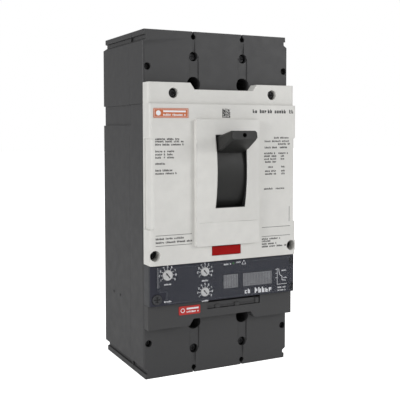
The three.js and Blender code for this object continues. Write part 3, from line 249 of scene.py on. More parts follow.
def studio_white(name):
    """The floor: plain and matt, lit up to white where the camera sees it."""
    f = Finish(name)
    f.paint(f.mix(f.ramp(f.noise(0.4, 2.0), 0.3, 0.7), srgb(246, 246, 246), srgb(250, 250, 250)))
    f.roughness(0.9)
    f.shader.inputs["Emission Color"].default_value = (1, 1, 1, 1)
    seen = f.add("ShaderNodeLightPath").outputs["Is Camera Ray"]
    f.feed(f.shader.inputs["Emission Strength"], f.ramp(seen, 0.0, 1.0, 0.2, 0.95))
    return f.material


FINISHES = {
    "dark_case": moulded_plastic("dark_case_plastic", srgb(58, 58, 59), 0.55, edge_highlight_gain=1.45),
    "white_cover": moulded_plastic("white_cover_plastic", srgb(216, 215, 211), 0.45, edge_highlight_gain=1.08),
    "trip_plastic": moulded_plastic("trip_unit_plastic", srgb(54, 55, 58), 0.5, edge_highlight_gain=1.4),
    "trip_panel": moulded_plastic("trip_panel_film", srgb(41, 42, 53), 0.4, edge_highlight_gain=1.2, grain=0.2 * MM,
                                  gloss=0.3),
    "handle_plastic": moulded_plastic("handle_plastic", srgb(33, 33, 32), 0.45, edge_highlight_gain=1.6, gloss=0.35),
    "red_button": moulded_plastic("red_button_plastic", srgb(152, 6, 6), 0.45, edge_highlight_gain=1.3, gloss=0.12),
    "dial_plastic": moulded_plastic("dial_plastic", srgb(226, 226, 226), 0.4, edge_highlight_gain=1.05, grain=0.2 * MM),
    "display_grey": moulded_plastic("display_window", srgb(138, 139, 143), 0.25, edge_highlight_gain=1.1,
                                    grain=0.2 * MM),
    "coil_plastic": moulded_plastic("coil_plastic", srgb(44, 46, 51), 0.5, edge_highlight_gain=1.4),
    "orange_label": moulded_plastic("orange_label_vinyl", srgb(196, 106, 61), 0.4, edge_highlight_gain=1.1),
    "red_label": moulded_plastic("red_label_vinyl", srgb(184, 37, 32), 0.4, edge_highlight_gain=1.1),
    "clear_plastic": clear_sheet("clear_cover_plastic", srgb(120, 124, 130), 0.04, 0.08),
    "steel": plated_metal("zinc_plated_steel", srgb(180, 182, 186), 0.32),
    "dark_steel": plated_metal("black_oxide_steel", srgb(54, 54, 55), 0.45),
    "copper": plated_metal("copper_bar", srgb(200, 128, 92), 0.3, tarnish=0.7),
    "fibre": fibre_board("arc_chute_fibre", srgb(140, 122, 92)),
    "board_green": fibre_board("circuit_board", srgb(30, 92, 58)),
    "clear_edge": clear_sheet("clear_cover_edge_plastic", srgb(110, 114, 122), 0.14, 0.1),
    "print_grey": ink("grey_print", srgb(52, 52, 54)),
    "print_white": ink("white_print", srgb(236, 237, 240)),
    "print_black": ink("black_print", srgb(26, 26, 27)),
    # Lining of the handle slot: partly the colour of a dark part, partly painted shade in the slot.
    "slot_liner_dark_and_shade": moulded_plastic("slot_liner_plastic_and_shade", srgb(30, 30, 31), 0.6, edge_highlight_gain=1.3),
    "lamp_green": moulded_plastic("lamp_lens", srgb(60, 120, 66), 0.2, edge_highlight_gain=1.3, grain=0.2 * MM),
}


SLOT_OF_NODE = {part["node"]: part["material_slot"] for part in frame["record"]["subparts"]}
BODY_OF_NODE = {
    node: body for body, nodes in frame["record"]["behaviour"]["bodies"].items() for node in nodes
}


def finish_cad_nodes():
    """Gives every CAD node its finish."""
    for name, node in frame["nodes"].items():
        for place in node.material_slots:
            place.material = FINISHES[SLOT_OF_NODE[name]]


# ---------------------------------------------------------------- shells with rounded edges

def object_from(name, bm, finish, smooth_below=30):
    """A new object from a bmesh: smooth where faces meet at less than the given angle."""
    mesh = bpy.data.meshes.new(name)
    for face in bm.faces:
        face.smooth = True
    limit = math.radians(smooth_below)
    for edge in bm.edges:
        edge.smooth = len(edge.link_faces) == 2 and edge.calc_face_angle(math.pi) < limit
    bm.to_mesh(mesh)
    bm.free()
    mesh.materials.append(finish)
    piece = bpy.data.objects.new(name, mesh)
    bpy.context.scene.collection.objects.link(piece)
    return piece


def self_crossings(bm):
    """The middles of the triangles that cut through other triangles of the same mesh."""
    copy = bm.copy()
    bmesh.ops.triangulate(copy, faces=copy.faces)
    copy.faces.ensure_lookup_table()
    bmesh.ops.scale(copy, vec=(1 / MM, 1 / MM, 1 / MM), verts=copy.verts)
    tree = BVHTree.FromBMesh(copy)
    found = []
    for first, second in tree.overlap(tree):
        if first >= second:
            continue
        corners = [v.co for v in copy.faces[first].verts]
        others = [v.co for v in copy.faces[second].verts]
        if any((p - q).length < TOUCHING for p in corners for q in others):
            continue
        found += [copy.faces[first].calc_center_median() * MM, copy.faces[second].calc_center_median() * MM]
    copy.free()
    return found


def welded_copy(node):
    bm = bmesh.new()
    bm.from_mesh(frame["nodes"][node].data)
    bmesh.ops.remove_doubles(bm, verts=bm.verts, dist=WELD)
    return bm


def near_segment(point, start, end, reach):
    along = end - start
    share = max(0.0, min(1.0, (point - start).dot(along) / along.length_squared))
    return (start + along * share - point).length < reach


def rounded_shell(node, width, segments=2, sharp_above=24, rounds=8):
    """Stands for a CAD node: the same shape with its sharp edges rounded off.

    Where rounding would fold the surface over itself, as in grooves narrower than the rounding,
    the edges nearby are left sharp, round by round, until nothing crosses.
    """
    limit = math.radians(sharp_above)
    kept_sharp = set()
    for _ in range(rounds):
        bm = welded_copy(node)
        bm.edges.ensure_lookup_table()
        chosen = [
            e for e in bm.edges
            if len(e.link_faces) == 2 and e.calc_face_angle() > limit and e.index not in kept_sharp
        ]
        places = [(e.index, e.verts[0].co.copy(), e.verts[1].co.copy()) for e in chosen]
        bmesh.ops.bevel(bm, geom=chosen, offset=width, offset_type="OFFSET", segments=segments, profile=0.5,
                        affect="EDGES", clamp_overlap=False, loop_slide=True)
        crossings = self_crossings(bm)
        if not crossings:
            break
        reach = 2.5 * width
        for index, start, end in places:
            if any(near_segment(point, start, end, reach) for point in crossings):
                kept_sharp.add(index)
        bm.free()
    else:
        bm = welded_copy(node)
    piece = object_from(node + "_finished", bm, FINISHES[SLOT_OF_NODE[node]])
    even = piece.modifiers.new("flat_faces_stay_flat", "WEIGHTED_NORMAL")
    even.keep_sharp = True
    even.weight = 100
    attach(piece, BODY_OF_NODE[node])
    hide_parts(node)
    return piece


# ---------------------------------------------------------------- drawn detail

INK = 0.04
LAYER = 0.006

STEM_WIDTH = 0.24
LOW_LETTER = 0.72
TALL_SHARE = 0.4
SECOND_STEM_SHARE = 0.6
BAR_LEVELS = (0.0, 0.3, 0.55)
BAR_WIDTH = 0.2
LETTER_WIDTH = 0.55
LETTER_PACE = 1.35

DIGIT_HALF_WIDTH = 0.28
DIGIT_STROKE = 0.2
DIGIT_STROKES = {
    0: "tltr trbr brbl bltl", 1: "trbr", 2: "tltr trmr mrml mlbl blbr", 3: "tltr trbr brbl mlmr",
    4: "tlml mlmr trbr", 5: "trtl tlml mlmr mrbr brbl", 6: "trtl tlbl blbr brmr mrml", 7: "tltr trbr",
    8: "tltr trbr brbl bltl mlmr", 9: "mrml mltl tltr trbr brbl",
}


def film_on(face):
    """The (front, back) of a film of ink on a face."""
    return (face - INK, face + INK)


class Drawing:
    """Fine detail drawn in millimetres (x right, y back, z up) and made into one piece of the breaker."""

    def __init__(self):
        self.bm = bmesh.new()

    def loop(self, centre, radii, y):
        """Corners around a (x, z) centre, one for each radius in the list."""
        ring = []
        for index, radius in enumerate(radii):
            angle = 2 * math.pi * index / len(radii)
            place = (centre[0] + radius * math.cos(angle), y, centre[1] + radius * math.sin(angle))
            ring.append(self.bm.verts.new(place))
        return ring

    def band(self, lower, upper):
        """The faces between two loops of corners."""
        for index, corner in enumerate(lower):
            following = (index + 1) % len(lower)
            self.bm.faces.new((corner, lower[following], upper[following], upper[index]))

    def prism(self, outline, front, back):
        """A plate with an outline of (x, z) corners, between two depths."""
        near = [self.bm.verts.new((x, front, z)) for x, z in outline]
        far = [self.bm.verts.new((x, back, z)) for x, z in outline]
        self.bm.faces.new(near)
        self.bm.faces.new(far[::-1])
        self.band(near, far)

    def box(self, x, y, z):
        """A block between two x, two y and two z."""
        self.prism([(x[0], z[0]), (x[1], z[0]), (x[1], z[1]), (x[0], z[1])], y[0], y[1])

    def stroke(self, start, end, width, depth):
        """A straight bar between two (x, z) points; depth is its (front, back)."""
        along = Vector(end) - Vector(start)
        across = Vector((-along.y, along.x)).normalized() * width / 2
        corners = [Vector(start) - across, Vector(end) - across, Vector(end) + across, Vector(start) + across]
        self.prism([tuple(corner) for corner in corners], *depth)

    def path(self, points, width, depth, closed=False):
        """Bars from point to point, each a hair in front of the one before so that no two faces coincide."""
        following = points[1:] + points[:1] if closed else points[1:]
        for index, (start, end) in enumerate(zip(points, following)):
            self.stroke(start, end, width, (depth[0] - index * LAYER, depth[1]))

    def lathe(self, centre, profile, sides=32, ribs=0, rib_depth=0.0):
        """A turned piece: (radius, y) from the back to the front, its rim optionally ribbed like a knurl."""
        turns = [2 * math.pi * index / sides for index in range(sides)]
        dips = [rib_depth * (0.5 - 0.5 * math.cos(ribs * turn)) for turn in turns]
        rings = [self.loop(centre, [radius - dip for dip in dips], y) for radius, y in profile]
        for lower, upper in zip(rings, rings[1:]):
            self.band(lower, upper)
        self.bm.faces.new(rings[0])
        self.bm.faces.new(rings[-1])

    def ring(self, centre, inner, outer, depth, sides=40):
        """A flat ring with softened edges; depth is its (front, back)."""
        front, back = depth
        edge = min(0.12, (outer - inner) / 4)
        section = [
            (inner, back), (outer, back), (outer, front + edge), (outer - edge, front),
            (inner + edge, front), (inner, front + edge),
        ]
        rows = [self.loop(centre, [radius] * sides, y) for radius, y in section]
        for row, following in zip(rows, rows[1:] + rows[:1]):
            self.band(row, following)

    def letter(self, x, z, width, height, face, dice):
        """An unreadable letter: a stem or two, and two cross strokes a hair in front of them."""
        stem = STEM_WIDTH * height
        film = film_on(face)
        over = (film[0] - LAYER, film[1])
        tall = height if dice.random() < TALL_SHARE else LOW_LETTER * height
        self.box((x, x + stem), film, (z, z + tall))
        if dice.random() < SECOND_STEM_SHARE:
            self.box((x + width - stem, x + width), film, (z, z + LOW_LETTER * height))
        for level in dice.sample(BAR_LEVELS, 2):
            foot = z + level * height
            self.box((x, x + width), over, (foot, foot + BAR_WIDTH * height))

    def type_line(self, start, end, z, height, face, longest_word=7):
        """A line of unreadable small type between two x, standing on z."""
        dice = random.Random(round(start * 31 + z * 17))
        shortest_word = (longest_word + 1) // 2
        width = LETTER_WIDTH * height
        x = start
        letters_left = dice.randint(shortest_word, longest_word)
        while x + width <= end:
            if letters_left:
                self.letter(x, z, width, height, face, dice)
                letters_left -= 1
            else:
                letters_left = dice.randint(shortest_word, longest_word)
            x += LETTER_PACE * width

    def digit(self, value, centre, height, face):
        """A number from 0 to 9 drawn with straight strokes."""
        half = DIGIT_HALF_WIDTH * height
        x, z = centre
        corners = {
            "tl": (x - half, z + height / 2), "tr": (x + half, z + height / 2), "ml": (x - half, z),
            "mr": (x + half, z), "bl": (x - half, z - height / 2), "br": (x + half, z - height / 2),
        }
        front, back = film_on(face)
        for index, pair in enumerate(DIGIT_STROKES[value].split()):
            start, end = corners[pair[:2]], corners[pair[2:]]
            self.stroke(start, end, DIGIT_STROKE * height, (front - index * LAYER, back))

    def piece(self, name, finish, body="case", slot="dark_case", stands_for=(), smooth_below=30):
        """Makes the drawing an object in metres that rides on a body and may stand for CAD nodes."""
        bmesh.ops.recalc_face_normals(self.bm, faces=self.bm.faces)
        bmesh.ops.scale(self.bm, vec=(MM, MM, MM), verts=self.bm.verts)
        made = object_from(name, self.bm, FINISHES[finish], smooth_below)
        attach(made, body)
        if stands_for:
            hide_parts(*stands_for)
        return made


def node_box(name):
    """The corners of a CAD node in millimetres."""
    low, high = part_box(name)
    return Vector(low) / MM, Vector(high) / MM


def front_disc(name):
    """The (x, z) centre, the radius and the front and back depths of a round CAD node that faces forward."""
    low, high = node_box(name)
    centre = ((low.x + high.x) / 2, (low.z + high.z) / 2)
    return centre, (high.x - low.x) / 2, low.y, high.y


def around(centre, radius, degrees):
    """The (x, z) point at an angle counted clockwise from straight up."""
    angle = math.radians(degrees)
    return (centre[0] + radius * math.sin(angle), centre[1] + radius * math.cos(angle))


# ---------------------------------------------------------------- the white cover

COVER_FACE = -113.0
TYPE_HEIGHT = 1.7
LEFT_EDGE = -65.0
LEFT_TYPE = (
    (-43.0, 55.0), (-40.0, 53.0), (-40.0, 50.5), (-56.0, 35.0), (-50.0, 29.5), (-46.0, 27.0),
    (-38.0, -26.5), (-32.5, -29.5),
)
LEFT_TABLE_ROWS = (45.0, 42.5, 40.0)
LEFT_TABLE_COLUMNS = ((-65.0, -59.0), (-57.5, -55.8), (-54.5, -48.5))
RIGHT_TYPE = (
    (47.0, 63.5, 55.5), (37.5, 63.5, 52.5), (51.0, 63.5, 50.0), (37.5, 50.0, 47.0), (53.0, 60.5, 47.0),
    (37.0, 49.0, 42.0), (51.5, 62.0, 42.0), (37.0, 50.0, 39.5), (54.0, 58.5, 39.5), (37.0, 50.0, 37.0),
    (54.0, 58.5, 37.0), (38.0, 50.0, 34.5), (41.0, 47.0, 30.0), (54.5, 59.0, 30.0), (38.0, 50.0, 26.5),
    (54.5, 58.5, 26.5), (38.0, 50.0, 24.0), (54.5, 58.0, 24.0), (37.0, 47.0, 11.0), (49.0, 59.0, 11.0),
    (35.0, 54.5, -33.0), (35.0, 45.5, -35.0), (35.0, 50.5, -37.3), (35.0, 61.0, -39.7),
)
HEADING_WORDS = ((25.5, 31.0), (32.5, 39.5), (40.5, 46.0), (47.5, 60.5), (62.5, 68.0))
HEADING_HEIGHT = 3.2
HEADING_FOOT = 77.6
HEADING_LONGEST_WORD = 20
LEFT_RULES = (-23.0, -31.5)
LEFT_RULE_END = -32.5
RIGHT_RULES = (-22.0, -30.0)
RIGHT_RULE_SPAN = (35.0, 64.0)
RULE_WIDTH = 0.35
EDGE_MARK = ((63.0, -4.5), (63.0, -18.0))
CODE_CORNER = (-4.0, 73.5)
CODE_CELLS = 14
CODE_CELL = 0.53
CODE_FILLED_SHARE = 0.62


def cover_print_left():
    """The type and rules to the left of the handle."""
    d = Drawing()
    for end, z in LEFT_TYPE:
        d.type_line(LEFT_EDGE, end, z, TYPE_HEIGHT, COVER_FACE)
    for z in LEFT_TABLE_ROWS:
        for start, end in LEFT_TABLE_COLUMNS:
            d.type_line(start, end, z, TYPE_HEIGHT, COVER_FACE)
    for z in LEFT_RULES:
        d.stroke((LEFT_EDGE, z), (LEFT_RULE_END, z), RULE_WIDTH, film_on(COVER_FACE))
    d.piece("cover_print_left", "print_grey", slot="white_cover")


def cover_print_right():
    """The type and rules to the right of the handle, and a mark by the edge."""
    d = Drawing()
    for start, end, z in RIGHT_TYPE:
        d.type_line(start, end, z, TYPE_HEIGHT, COVER_FACE)
    start, end = RIGHT_RULE_SPAN
    for z in RIGHT_RULES:
        d.stroke((start, z), (end, z), RULE_WIDTH, film_on(COVER_FACE))
    d.stroke(*EDGE_MARK, RULE_WIDTH, film_on(COVER_FACE))
    d.piece("cover_print_right", "print_grey", slot="white_cover")


def cover_heading():
    """A line of larger unreadable type along the top edge of the cover."""
    d = Drawing()
    for start, end in HEADING_WORDS:
        d.type_line(start, end, HEADING_FOOT, HEADING_HEIGHT, COVER_FACE, HEADING_LONGEST_WORD)
    d.piece("cover_heading_print", "print_grey", slot="white_cover")


def code_mark():
    """A square of random cells, like a printed code that says nothing."""
    dice = random.Random(5)
    d = Drawing()
    for row in range(CODE_CELLS):
        for column in range(CODE_CELLS):
            border = row == 0 or column == 0
            if border or dice.random() < CODE_FILLED_SHARE:
                x = CODE_CORNER[0] + column * CODE_CELL
                z = CODE_CORNER[1] + row * CODE_CELL
                d.box((x, x + CODE_CELL), film_on(COVER_FACE), (z, z + CODE_CELL))
    d.piece("cover_code_mark", "print_black", slot="white_cover")


LABEL_LINE_INSET = 0.7
LABEL_LINE_WIDTH = 0.2
ORANGE_DISC_X = 4.2
ORANGE_DISC_RADIUS = 2.1
ORANGE_MARGINS = (8.5, 2.5)
ORANGE_BAR = (0.7, 2.1)
ORANGE_TYPE_DROP = 2.2
ORANGE_TYPE_HEIGHT = 1.8
RED_RING_X = 3.6
RED_RING_RADII = (1.3, 2.0)
RED_MARGINS = (7.2, 1.6)
RED_BAR = (0.6, 2.0)
RED_TYPE_DROP = 2.1
RED_TYPE_HEIGHT = 1.7


def orange_label_print():
    """A disc, a bar and a line of type, with a thin line around the label."""
    low, high = node_box("rating_label")
    near, far = film_on(low.y)
    middle = (low.z + high.z) / 2
    text_start, text_end = low.x + ORANGE_MARGINS[0], high.x - ORANGE_MARGINS[1]
    d = Drawing()
    d.lathe((low.x + ORANGE_DISC_X, middle), [(ORANGE_DISC_RADIUS, far), (ORANGE_DISC_RADIUS, near)])
    d.box((text_start, text_end), (near, far), (middle + ORANGE_BAR[0], middle + ORANGE_BAR[1]))
    d.type_line(text_start, text_end, middle - ORANGE_TYPE_DROP, ORANGE_TYPE_HEIGHT, low.y)
    left, right = low.x + LABEL_LINE_INSET, high.x - LABEL_LINE_INSET
    foot, top = low.z + LABEL_LINE_INSET, high.z - LABEL_LINE_INSET
    border = [(left, foot), (right, foot), (right, top), (left, top)]
    d.path(border, LABEL_LINE_WIDTH, (near, far), closed=True)
    d.piece("rating_label_print", "print_white", slot="orange_label")


def red_label_print():
    """A ring, a bar and a line of type."""
    low, high = node_box("caution_label")
    film = film_on(low.y)
    middle = (low.z + high.z) / 2
    text_start, text_end = low.x + RED_MARGINS[0], high.x - RED_MARGINS[1]
    d = Drawing()
    d.ring((low.x + RED_RING_X, middle), *RED_RING_RADII, film)
    d.box((text_start, text_end), film, (middle + RED_BAR[0], middle + RED_BAR[1]))
    d.type_line(text_start, text_end, middle - RED_TYPE_DROP, RED_TYPE_HEIGHT, low.y)
    d.piece("caution_label_print", "print_white", slot="red_label")


SLOT_HALF_WIDTH = 14.0
SLOT_Z = (-2.0, 59.0)
SLOT_MIDDLE_Z = 28.5
RIM_FOOT = -117.0
RIM_LIFT = 7.0
RIM_REACH = 43.0
PIVOT_Y = -62.0
SHIELD_CLEARANCE = 60.3
LINER = 0.33
LINER_SET_BACK = 0.5
LINER_STEPS = 16


def liner_front(z):
    """The depth just inside the curved rim of the handle slot at a height."""
    share = (z - SLOT_MIDDLE_Z) / RIM_REACH
    return RIM_FOOT - RIM_LIFT * (1 - share * share) + LINER_SET_BACK


def liner_back(z):
    """The depth just in front of the handle's curved shield at a height."""
    return PIVOT_Y - math.sqrt(SHIELD_CLEARANCE ** 2 - (z - SLOT_MIDDLE_Z) ** 2)


def handle_slot_liner():
    """The dark lining of the handle slot: two curved side walls and two end walls, standing partly for a dark
    part along the slot wall and partly as painted shade inside the slot.
    """
    d = Drawing()
    low, high = SLOT_Z
    levels = [low + (high - low) * step / LINER_STEPS for step in range(LINER_STEPS + 1)]
    inner_half = SLOT_HALF_WIDTH - LINER
    for side in (-1, 1):
        rows = []
        for x in (side * SLOT_HALF_WIDTH, side * inner_half):
            fronts = [d.bm.verts.new((x, liner_front(z), z)) for z in levels]
            backs = [d.bm.verts.new((x, liner_back(z), z)) for z in levels]
            rows.append(fronts + backs[::-1])
        d.band(*rows)
        for row in rows:
            last = len(row) - 1
            for index in range(LINER_STEPS):
                d.bm.faces.new((row[index], row[index + 1], row[last - index - 1], row[last - index]))
    for end, inward in ((low, 1), (high, -1)):
        span = sorted((end, end + inward * LINER))
        d.box((-inner_half, inner_half), (liner_front(end), liner_back(end)), span)
    d.piece("handle_slot_liner", "slot_liner_dark_and_shade", slot="dark_case")


# ---------------------------------------------------------------- screws

SCREW_SIDES = 24
SHANK_SIDES = 16
HEAD_HEIGHT = 2.6
HEAD_PROFILE = ((1.0, 1.0), (1.0, 0.45), (0.93, 0.2), (0.78, 0.05), (0.66, 0.0))
CROSS_REACH = 0.52
CROSS_HALF_WIDTH = 0.12
CROSS_TAPER = 0.7
RECESS_DEPTH = 1.3
SHANK_RADIUS = 0.5
THREAD_ROOT = 0.82
THREAD_PITCH = 0.8
SHANK_OVERLAP = 0.05


def cross_outline(centre, reach, half_width):
    """The twelve (x, z) corners of a cross recess."""
    a, b = reach, half_width
    corners = (
        (a, -b), (a, b), (b, b), (b, a), (-b, a), (-b, b),
        (-a, b), (-a, -b), (-b, -b), (-b, -a), (b, -a), (b, -b),
    )
    return [(centre[0] + x, centre[1] + z) for x, z in corners]


def loop_edges(bm, loop):
    """The edges of a closed loop of corners."""
    return [bm.edges.get((corner, loop[(index + 1) % len(loop)])) for index, corner in enumerate(loop)]


def screw_head(d, centre, radius, front, height):
    """A domed head with a tapering cross recess."""
    rings = []
    for share, depth in HEAD_PROFILE:
        rings.append(d.loop(centre, [radius * share] * SCREW_SIDES, front + height * depth))
    for lower, upper in zip(rings, rings[1:]):
        d.band(lower, upper)
    d.bm.faces.new(rings[0])
    reach, half_width = CROSS_REACH * radius, CROSS_HALF_WIDTH * radius
    mouth = [d.bm.verts.new((x, front, z)) for x, z in cross_outline(centre, reach, half_width)]
    tapered = cross_outline(centre, CROSS_TAPER * reach, CROSS_TAPER * half_width)
    floor = [d.bm.verts.new((x, front + RECESS_DEPTH, z)) for x, z in tapered]
    d.band(mouth, floor)
    d.bm.faces.new(floor)
    rims = loop_edges(d.bm, mouth) + loop_edges(d.bm, rings[-1])
    bmesh.ops.triangle_fill(d.bm, edges=rims, use_beauty=True)


def screw_shank(d, centre, radius, head_back, tip):
    """A shank with threads as rings, from the tip up into the head."""
    profile = []
    y = tip
    while y > head_back + THREAD_PITCH:
        profile += [(radius, y), (THREAD_ROOT * radius, y - THREAD_PITCH / 2)]
        y -= THREAD_PITCH
    profile.append((radius, head_back - SHANK_OVERLAP))
    d.lathe(centre, profile, SHANK_SIDES)


def screw(node):
    """Stands for a CAD screw: a domed head with a real cross recess, over a threaded shank."""
    centre, radius, front, tip = front_disc(node)
    height = min(HEAD_HEIGHT, (tip - front) / 3)
    d = Drawing()
    screw_head(d, centre, radius, front, height)
    screw_shank(d, centre, SHANK_RADIUS * radius, front + height, tip)
    d.piece(node + "_finished", "dark_steel", slot="dark_steel", stands_for=(node,), smooth_below=40)


# ---------------------------------------------------------------- the trip unit panel

PANEL_FACE = -111.2

DIALS = (
    ("long_time_current_dial", "dial_long_time", 7.4),
    ("short_time_current_dial", "dial_short_time", 6.8),
    ("short_time_delay_dial", "dial_delay", 6.8),
)
DIAL_DISH = 0.22
DIAL_SIDES = 96
KNURL_RIBS = 24
KNURL_DEPTH = 0.14
ARROW_TURN = -40
ARROW_REACH = 0.66
ARROW_WIDTH = 0.2
ARROW_BARB = 0.42
ARROW_BARB_TURN = 50

FIRST_NUMBER = 1
TICKS = 9
TICK_FROM = -120
TICK_TO = 120
TICK_GAP = 0.35
TICK_LENGTH = 1.3
TICK_WIDTH = 0.42
NUMBER_HEIGHT = 1.5
DIAL_CAPTION = (-3.0, 3.4)
DIAL_CAPTION_DROP = 8.2
DIAL_CAPTION_HEIGHT = 1.4


def dial_knob(node, body):
    """Stands for a CAD dial: a knurled knob with a dished face."""
    centre, radius, front, back = front_disc(node)
    dish = front + DIAL_DISH
    profile = [
        (radius, back), (radius, front + 0.35), (radius - 0.12, front + 0.1), (radius - 0.35, front),
        (radius - 0.75, front), (radius - 0.95, dish), (0.3, dish),
    ]
    d = Drawing()
    d.lathe(centre, profile, DIAL_SIDES, KNURL_RIBS, KNURL_DEPTH)
    d.piece(node + "_finished", "dial_plastic", body, "dial_plastic", (node,))


def dial_arrow(node, body):
    """A black arrow on the dished face of a dial: painted shade in place of the arrow-shaped slot of the CAD
    dial.
    """
    centre, radius, front, _ = front_disc(node)
    film = film_on(front + DIAL_DISH)
    tip = ARROW_REACH * radius
    tail_end = around(centre, tip, ARROW_TURN + 180)
    shaft_end = around(centre, 0.4 * tip, ARROW_TURN)
    d = Drawing()
    d.stroke(tail_end, shaft_end, ARROW_WIDTH * radius, (film[0] - LAYER, film[1]))
    head = [
        around(centre, tip, ARROW_TURN), around(centre, ARROW_BARB * tip, ARROW_TURN + ARROW_BARB_TURN),
        around(centre, ARROW_BARB * tip, ARROW_TURN - ARROW_BARB_TURN),
    ]
    d.prism(head, *film)
    d.piece(node + "_arrow", "print_black", body, "dial_plastic")


def dial_scales():
    """Tick marks and numbers around the three dials, and a short line of type under each."""
    d = Drawing()
    for node, _, number_radius in DIALS:
        centre, radius, _, _ = front_disc(node)
        edge = radius + TICK_GAP
        for tick in range(TICKS):
            turn = TICK_FROM + (TICK_TO - TICK_FROM) * tick / (TICKS - 1)
            start, end = around(centre, edge, turn), around(centre, edge + TICK_LENGTH, turn)
            d.stroke(start, end, TICK_WIDTH, film_on(PANEL_FACE))
            d.digit(FIRST_NUMBER + tick, around(centre, number_radius, turn), NUMBER_HEIGHT, PANEL_FACE)
        d.type_line(centre[0] + DIAL_CAPTION[0], centre[0] + DIAL_CAPTION[1], centre[1] - DIAL_CAPTION_DROP,
                    DIAL_CAPTION_HEIGHT, PANEL_FACE)
    d.piece("dial_scales_print", "print_white", slot="dial_plastic")


CAPTIONS = (
    (-1.5, 5.5, -52.5, 1.6), (10.5, 15.0, -51.5, 1.5), (19.0, 25.5, -79.0, 4.0), (29.0, 47.0, -79.5, 4.8),
    (52.5, 61.0, -77.5, 1.4), (52.5, 61.0, -80.0, 1.4), (-57.0, -49.5, -79.0, 1.5), (56.5, 62.0, -62.5, 1.4),
    (58.5, 62.0, -69.0, 1.2),
)
TRIANGLE = [(16.0, -53.0), (18.0, -49.5), (20.0, -53.0)]
TRIANGLE_LINE = 0.3
GRAPH_AXES = [(52.0, -59.5), (52.0, -74.0), (62.0, -74.0)]
AXIS_LINE = 0.35
GRAPH_CURVE = [(53.5, -60.0), (54.0, -63.5), (55.0, -66.0), (57.0, -67.0), (57.0, -70.5), (61.0, -71.0)]
CURVE_LINE = 0.5
GRAPH_TICKS = (-60.5, -64.0, -68.0)
GRAPH_TICK_REACH = 1.7
GRAPH_TICK_LINE = 0.4
HINGE_MARK = ((-62.5, -49.5), (-62.5, -66.5))
HINGE_MARK_LINE = 0.16


def panel_print():
    """The white print of the panel: captions, a triangle, a time curve and the line of the hinge."""
    d = Drawing()
    film = film_on(PANEL_FACE)
    for start, end, z, height in CAPTIONS:
        d.type_line(start, end, z, height, PANEL_FACE)
    d.path(TRIANGLE, TRIANGLE_LINE, film, closed=True)
    d.path(GRAPH_AXES, AXIS_LINE, film)
    d.path(GRAPH_CURVE, CURVE_LINE, film)
    axis_x = GRAPH_AXES[0][0]
    for level in GRAPH_TICKS:
        d.stroke((axis_x - GRAPH_TICK_REACH, level), (axis_x, level), GRAPH_TICK_LINE, film)
    d.stroke(*HINGE_MARK, HINGE_MARK_LINE, film)
    d.piece("panel_print", "print_white", slot="dial_plastic")


WINDOWS = ("display_window_left", "display_window_right")
BEZEL_WIDTH = 0.55
BEZEL_RISE = 0.3
BAR_SPACING = 1.6
BAR_HALF_WIDTH = 0.14
BAR_MARGIN = 0.9
LAMP_PLACE = (7.6, -51.4)
LAMP_PROFILE = ((0.95, INK), (0.95, -0.2), (0.7, -0.45), (0.25, -0.55))


def window_bezels():
    """A thin raised frame around each display window."""
    d = Drawing()
    for node in WINDOWS:
        low, high = node_box(node)
        corners = [(low.x, low.z), (high.x, low.z), (high.x, high.z), (low.x, high.z)]
        d.path(corners, BEZEL_WIDTH, (PANEL_FACE - BEZEL_RISE, PANEL_FACE + INK), closed=True)
    d.piece("window_bezels", "trip_panel", slot="trip_panel")


def window_bars():
    """Fine upright bars across the display windows."""
    d = Drawing()
    for node in WINDOWS:
        low, high = node_box(node)
        count = round((high.x - low.x) / BAR_SPACING)
        span = (low.z + BAR_MARGIN, high.z - BAR_MARGIN)
        for index in range(1, count):
            x = low.x + (high.x - low.x) * index / count
            d.box((x - BAR_HALF_WIDTH, x + BAR_HALF_WIDTH), film_on(low.y), span)
    d.piece("window_bars", "print_grey", slot="display_grey")


def status_lamp():
    """The domed lens of the status lamp."""
    d = Drawing()
    d.lathe(LAMP_PLACE, [(radius, PANEL_FACE + rise) for radius, rise in LAMP_PROFILE], sides=20)
    d.piece("status_lamp_lens", "lamp_green", slot="trip_panel")


COLLAR_WIDTH = 0.7
COLLAR_RISE = 0.35
KEY_HALF_WIDTH = 0.9
PORT_CONTACTS = 6
CONTACT_RADIUS = 0.42
CENTRE_CONTACT_RADIUS = 0.55


def test_port_collar():
    """A raised collar with a key around the test port."""
    centre, radius, front, _ = front_disc("test_port_plug")
    depth = (front - COLLAR_RISE, front + INK)
    x, z = centre
    d = Drawing()
    d.ring(centre, radius - COLLAR_WIDTH, radius - 0.02, depth)
    d.box((x - KEY_HALF_WIDTH, x + KEY_HALF_WIDTH), depth, (z + radius - 1.5, z + radius - 0.5))
    d.piece("test_port_collar", "trip_plastic", slot="trip_plastic")


def test_port_hole_shade():
    """A ring of small black discs, with one in the middle: painted shade standing for the contact holes."""
    centre, radius, front, _ = front_disc("test_port_plug")
    near, far = film_on(front)
    d = Drawing()
    for index in range(PORT_CONTACTS):
        place = around(centre, radius / 2, 360 * (index + 0.5) / PORT_CONTACTS)
        d.lathe(place, [(CONTACT_RADIUS, far), (CONTACT_RADIUS, near)], sides=12)
    d.lathe(centre, [(CENTRE_CONTACT_RADIUS, far), (CENTRE_CONTACT_RADIUS, near)], sides=16)
    d.piece("test_port_hole_shade", "print_black", slot="trip_plastic")


UPPER_POCKET = [(64.3, -56.6), (68.6, -56.6), (68.6, -50.4), (66.4, -49.6), (64.3, -50.4)]
LOWER_POCKET = [(64.6, -80.4), (68.6, -80.4), (68.6, -72.8), (66.0, -72.8), (64.6, -74.6)]
POCKET_LINE = ((64.3, 67.6), (-58.8, -58.0))


def panel_pockets():
    """Flat black shapes at the latch side of the panel: painted shade standing for its pockets."""
    d = Drawing()
    depth = (PANEL_FACE - 0.06, PANEL_FACE + INK)
    d.prism(UPPER_POCKET, *depth)
    d.box(POCKET_LINE[0], depth, POCKET_LINE[1])
    d.prism(LOWER_POCKET, *depth)
    d.piece("panel_latch_pocket_shade", "print_black", slot="trip_panel")


